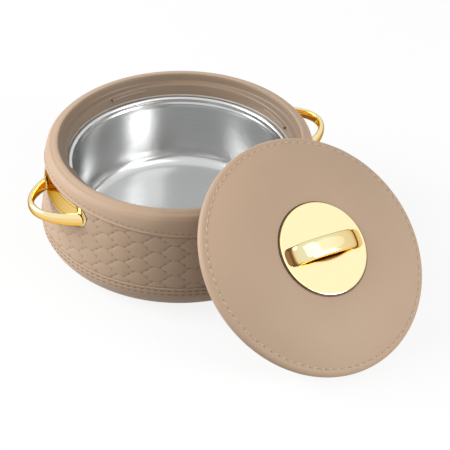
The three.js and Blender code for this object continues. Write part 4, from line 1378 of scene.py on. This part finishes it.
class LidLiner(bpy.types.Operator):
    """Moulded underside of the lid with its plug, gasket and locking lugs"""

    bl_idname = "casserole.lid_liner"
    bl_label = "Lid liner"

    def execute(self, context):
        lid, collar, knob = settings().lid, settings().collar, settings().knob
        place = lid_place(lid)
        tip, plug, wall = lid.plug_tip, lid.plug_radius, lid.plug_wall
        flange = lid.radius - lid.edge
        points = (
            [(0, -lid.plug_depth)]
            + steps_from(tip, -lid.plug_depth, (-1.2, 0), (-0.3, 0.2), (0.4, 0.6))
            + steps_from(plug, -lid.plug_straight, (-0.4, -0.4), (0, 0.5))
            + steps_from(plug, 0, (0, -2.8), (0.6, -2.1))
            + steps_from(flange, 0, (0, -1.9), (0, -0.5))
            + steps_from(plug - wall, 0, (0, -0.5))
            + steps_from(plug - wall, -lid.plug_straight, (0, 0.8))
            + [(tip - wall, -lid.plug_depth + wall), (0, -lid.plug_depth + wall)]
        )
        bm = spun(points, ROUND, closed=False)
        piece("lid_plug", bm, "lid", moulded(), ["lid_liner"], place=place,
              flat_over=50)
        top = -(collar.ramp_drop + collar.ramp_thickness + lid.edge + collar.lug_gap)
        low = top - collar.lug_thickness
        reach = plug + collar.lug_reach
        root = plug - 2 * wall
        section = catch_section(root, reach, low, top)
        catches("locking_lug", collar.ramps, section, collar.lug_span, math.pi / collar.ramps + knob.turn,
                14, "lid", place)
        ring = steps_from(
            plug + 0.3 * MM, -lid.edge - 0.4 * MM,
            (0, -1.4), (0, 0), (0.9, 0), (2.0, -0.15), (2.7, -0.5), (2.8, -0.9), (2.3, -1.25), (1.2, -1.4),
        )
        bm = spun(ring, ROUND)
        piece("lid_seal", bm, "lid", silicone(), ["lid_gasket"], place=place)
        return {"FINISHED"}


class Knob(bpy.types.Operator):
    """Round gold plate and the bridge knob on it"""

    bl_idname = "casserole.knob"
    bl_label = "Knob"

    def execute(self, context):
        lid, knob = settings().lid, settings().knob
        place = lid_place(lid)
        bottom = knob.plate_bottom
        top = bottom + knob.plate_thickness
        radius = knob.plate_radius
        side = (
            [(0, bottom)]
            + steps_from(radius, bottom, (-0.5, 0), (-0.1, 0.2), (0, 0.7))
            + steps_from(radius, top, (-0.15, -0.35), (-0.6, -0.05))
        )
        rings = 36
        face = [
            ((radius - 0.75 * MM) * (1 - i / rings), top + knob.swell * i / rings) for i in range(rings + 1)
        ]
        bm = spun(side + face, SMALL_ROUND, closed=False)
        spin = Matrix.Rotation(knob.turn, 4, "Z")
        unspin = spin.inverted()

        # Painted shade and reflection: a dark ring at the plate's edge, and a dark lens on the plate under
        # the bridge, where the bridge's underside would be mirrored
        def disc_painted_shade(co, normal):
            below = unspin @ co
            lens = math.hypot(
                (below.x - knob.shade_x) / knob.shade_long, (below.y - knob.shade_y) / knob.shade_wide
            )
            return max(
                smooth_step(radius - 0.7 * MM, radius - 0.3 * MM, co.xy.length),
                KNOB_UNDER_SHARE * smooth_step(1.08, 0.92, lens),
            )

        mark_painted_reflection(bm, disc_painted_shade)
        piece("knob_disc", bm, "lid", pale_gold(), ["knob_plate"], place=place)

        half, rise, leg = knob.half_span, top + knob.rise, knob.leg_half
        under, gap = rise - knob.thickness, knob.open_half
        waist, flat = top + knob.waist, knob.flat_half
        outer = curve(
            steps_from(half, top, (0, 0), (-3.0, 0.2)) + steps_from(leg, waist, (1.6, -2.8), (0, 0)),
            steps_from(leg, waist, (0, 0), (-1.6, 2.8)) + steps_from(flat, rise, (5, -2.6), (0, -1.6)),
            steps_from(flat, rise, (0, -1.6), (-6, -0.4)) + steps_from(0, rise, (6, 0), (0, 0)),
            steps=14,
        )
        inner = curve(
            steps_from(gap, top, (0, 0), (-0.1, 1.4), (-0.4, 2.4), (-1.2, 3.4)),
            steps_from(gap, top, (-1.2, 3.4)) + steps_from(gap, under, (-2.8, -0.7), (-5, 0), (-8, 0)),
            steps_from(gap, under, (-8, 0), (-11, 0)) + steps_from(0, under, (4, 0), (0, 0)),
            steps=14,
        )
        side = list(zip(outer, inner))
        path = [((-a, b), (-c, d)) for (a, b), (c, d) in side] + side[-2::-1]
        stations = []
        for (ox, oz), (ix, iz) in path:
            across = Vector((ox - ix, 0, oz - iz))
            width = Vector((0, 1, 0))
            along = width.cross(across.normalized())
            frame_now = Matrix((width, across / knob.thickness, along)).transposed().to_4x4()
            stations.append(Matrix.Translation(((ox + ix) / 2, 0, (oz + iz) / 2)) @ frame_now)
        bm = sweep(rounded_section(knob.width, knob.thickness, power=3.2, steps=64), stations)

        # Painted reflection and shade: dark feet, the left darker than the right, a dark underside in the
        # finger opening, a warmer tone towards the right end and browner sides
        def bridge_painted_reflection(co, normal):
            left, right = KNOB_FEET_SHARES
            foot = smooth_step(top + 4.5 * MM, top + 1.5 * MM, co.z) * (left if co.x < -gap else right)
            inside = smooth_step(-0.2, -0.7, normal.z) if abs(co.x) <= gap else 0.0
            warm = KNOB_WARM_SHARE * smooth_step(-5 * MM, 22 * MM, co.x)
            edge = KNOB_EDGE_SHARE * smooth_step(0.75, 0.35, normal.z)
            return max(foot, inside, warm + edge)

        mark_painted_reflection(bm, bridge_painted_reflection)
        piece("bridge_knob", bm, "lid", pale_gold(), ["lid_knob"], place=place @ spin,
              flat_over=70)
        return {"FINISHED"}


class CarriedParts(bpy.types.Operator):
    """Finishes on the solids that stay: body, insulation, seal, screws and washers"""

    bl_idname = "casserole.carried_parts"
    bl_label = "Carried parts"

    def execute(self, context):
        foam = shared("Rigid insulation foam", rigid_foam, "foam")
        zinc = shared("Zinc plate", dull_metal, "zinc")
        finishes = {
            "outer_body": moulded(), "lid_shell": moulded(), "foam_core": foam, "lid_foam": foam,
            "bowl_seal": silicone(),
        }
        for name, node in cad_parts.items():
            if "screw" in name or "washer" in name:
                finishes[name] = zinc
        for name, material in finishes.items():
            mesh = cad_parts[name].data
            mesh.materials.clear()
            mesh.materials.append(material)
        return {"FINISHED"}


# Floor, light and camera


def background_rays(tree):
    """1 for the rays that show the background: straight from the camera, or by way of metal or glass."""
    rays = add_node(tree, "ShaderNodeLightPath").outputs
    mirrored = add_node(
        tree, "ShaderNodeMath", links={0: rays["Is Camera Ray"], 1: rays["Is Glossy Ray"]},
        operation="MAXIMUM",
    ).outputs[0]
    return add_node(
        tree, "ShaderNodeMath", links={0: mirrored, 1: rays["Is Transmission Ray"]}, operation="MAXIMUM"
    ).outputs[0]


def pale_floor(name, tone, glow, bounce):
    """Seamless paper: white where light falls, and soft grey in the object's shadow."""
    made = bpy.data.materials.new(name)
    made.use_nodes = True
    tree = made.node_tree
    tree.nodes.clear()
    paper = add_node(tree, "ShaderNodeBsdfDiffuse", {"Color": rgba([bounce * c for c in tone])})
    dim = add_node(tree, "ShaderNodeBsdfDiffuse", {"Color": rgba([c * (1 - glow) for c in tone])})
    lift = add_node(tree, "ShaderNodeEmission", {"Color": (1, 1, 1, 1), "Strength": glow})
    both = add_node(
        tree, "ShaderNodeAddShader", links={0: dim.outputs["BSDF"], 1: lift.outputs["Emission"]}
    )
    mixed = add_node(
        tree, "ShaderNodeMixShader",
        links={"Fac": background_rays(tree), 1: paper.outputs["BSDF"], 2: both.outputs["Shader"]},
    )
    add_node(tree, "ShaderNodeOutputMaterial", links={"Surface": mixed.outputs["Shader"]})
    return made


def area_light(name, centre, azimuth, elevation, size, energy, distance):
    """A square softbox that faces the centre."""
    data = bpy.data.lights.new(name, "AREA")
    data.shape = "SQUARE"
    data.size = size
    data.energy = energy
    lamp = bpy.data.objects.new(name, data)
    bpy.context.scene.collection.objects.link(lamp)
    away = around(azimuth, math.cos(elevation), math.sin(elevation))
    lamp.location = centre + away * distance
    lamp.rotation_euler = away.to_track_quat("Z", "Y").to_euler()
    return lamp


class Stage(bpy.types.Operator):
    """Pale floor, soft studio light and the camera"""

    bl_idname = "casserole.stage"
    bl_label = "Stage"

    def execute(self, context):
        scene = context.scene
        stage, tones = settings().stage, settings().colours
        bm = bmesh.new()
        bmesh.ops.create_circle(bm, cap_ends=True, segments=96, radius=stage.floor_radius)
        mesh = bpy.data.meshes.new("floor")
        bm.to_mesh(mesh)
        bm.free()
        mesh.materials.append(pale_floor("Seamless paper", tones.floor, stage.paper, stage.bounce))
        floor = bpy.data.objects.new("floor", mesh)
        scene.collection.objects.link(floor)

        world = scene.world or bpy.data.worlds.new("Studio")
        scene.world = world
        world.use_nodes = True
        tree = world.node_tree
        tree.nodes.clear()
        even = add_node(
            tree, "ShaderNodeBackground", {"Color": (1, 1, 1, 1), "Strength": stage.air}
        )
        white = add_node(tree, "ShaderNodeBackground", {"Color": (1, 1, 1, 1), "Strength": 1.0})
        mixed = add_node(
            tree, "ShaderNodeMixShader",
            links={
                "Fac": background_rays(tree),
                1: even.outputs["Background"],
                2: white.outputs["Background"],
            },
        )
        add_node(tree, "ShaderNodeOutputWorld", links={"Surface": mixed.outputs["Shader"]})

        centre = Vector((0, 0, stage.aim_height))
        lid = Vector(settings().lid.centre)
        softboxes = (
            ("Key softbox", centre, -92, 28, 1.5, stage.key),
            ("Fill softbox", lid, 60, 22, 1.0, stage.fill),
            ("Glint softbox", lid, 87, 45, 1.2, stage.glint),
            ("Accent softbox", lid, 45, 58, 1.3, stage.accent),
        )
        for name, target, turn, lift, size, energy in softboxes:
            area_light(
                name, target, stage.heading + math.radians(turn), math.radians(lift), size, energy,
                stage.lamp_distance,
            )

        back = around(stage.heading, math.cos(stage.pitch), math.sin(stage.pitch))
        right = Vector((math.cos(stage.heading), math.sin(stage.heading), 0))
        up = back.cross(right)
        cr, sr = math.cos(stage.roll), math.sin(stage.roll)
        right, up = cr * right - sr * up, sr * right + cr * up
        across = stage.aim_x / stage.focal * stage.distance
        above = stage.aim_y / stage.focal * stage.distance
        eye = centre - right * across - up * above + back * stage.distance
        data = bpy.data.cameras.new("Camera")
        data.sensor_width = 36
        data.lens = stage.focal * data.sensor_width
        data.clip_end = 50
        camera = bpy.data.objects.new("Camera", data)
        scene.collection.objects.link(camera)
        camera.matrix_world = Matrix.Translation(eye) @ Matrix((right, up, back)).transposed().to_4x4()
        scene.camera = camera
        scene.view_settings.view_transform = "Standard"
        return {"FINISHED"}


OPERATORS = (
    BaseBand, QuiltedBand, ShoulderBand, PotStitching, BaseCap, Collar, SteelBowl, LoopHandles,
    LidTop, LidLiner, Knob, CarriedParts, Stage,
)
GROUPS = (
    PotSizes, QuiltSizes, StitchSizes, BowlSizes, CollarSizes, HandleSizes, LidSizes, KnobSizes,
    Colours, StageSettings, CasseroleSettings,
)


class CasserolePanel(bpy.types.Panel):
    """Lists the pieces"""

    bl_idname = "VIEW3D_PT_casserole"
    bl_label = "Casserole"
    bl_space_type = "VIEW_3D"
    bl_region_type = "UI"
    bl_category = "Casserole"

    def draw(self, context):
        for operator in OPERATORS:
            self.layout.operator(operator.bl_idname)


def register():
    for cls in (*GROUPS, *OPERATORS, CasserolePanel):
        bpy.utils.register_class(cls)
    bpy.types.Scene.casserole = bpy.props.PointerProperty(type=CasseroleSettings)


def unregister():
    del bpy.types.Scene.casserole
    for cls in reversed((*GROUPS, *OPERATORS, CasserolePanel)):
        bpy.utils.unregister_class(cls)


def main():
    register()
    bpy.ops.casserole.base_band()
    bpy.ops.casserole.quilted_band()
    bpy.ops.casserole.shoulder_band()
    bpy.ops.casserole.pot_stitching()
    bpy.ops.casserole.base_cap()
    bpy.ops.casserole.collar()
    bpy.ops.casserole.steel_bowl()
    bpy.ops.casserole.loop_handles()
    bpy.ops.casserole.lid_top()
    bpy.ops.casserole.lid_liner()
    bpy.ops.casserole.knob()
    bpy.ops.casserole.carried_parts()
    bpy.ops.casserole.stage()
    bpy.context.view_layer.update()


if __name__ == "__main__":
    main()
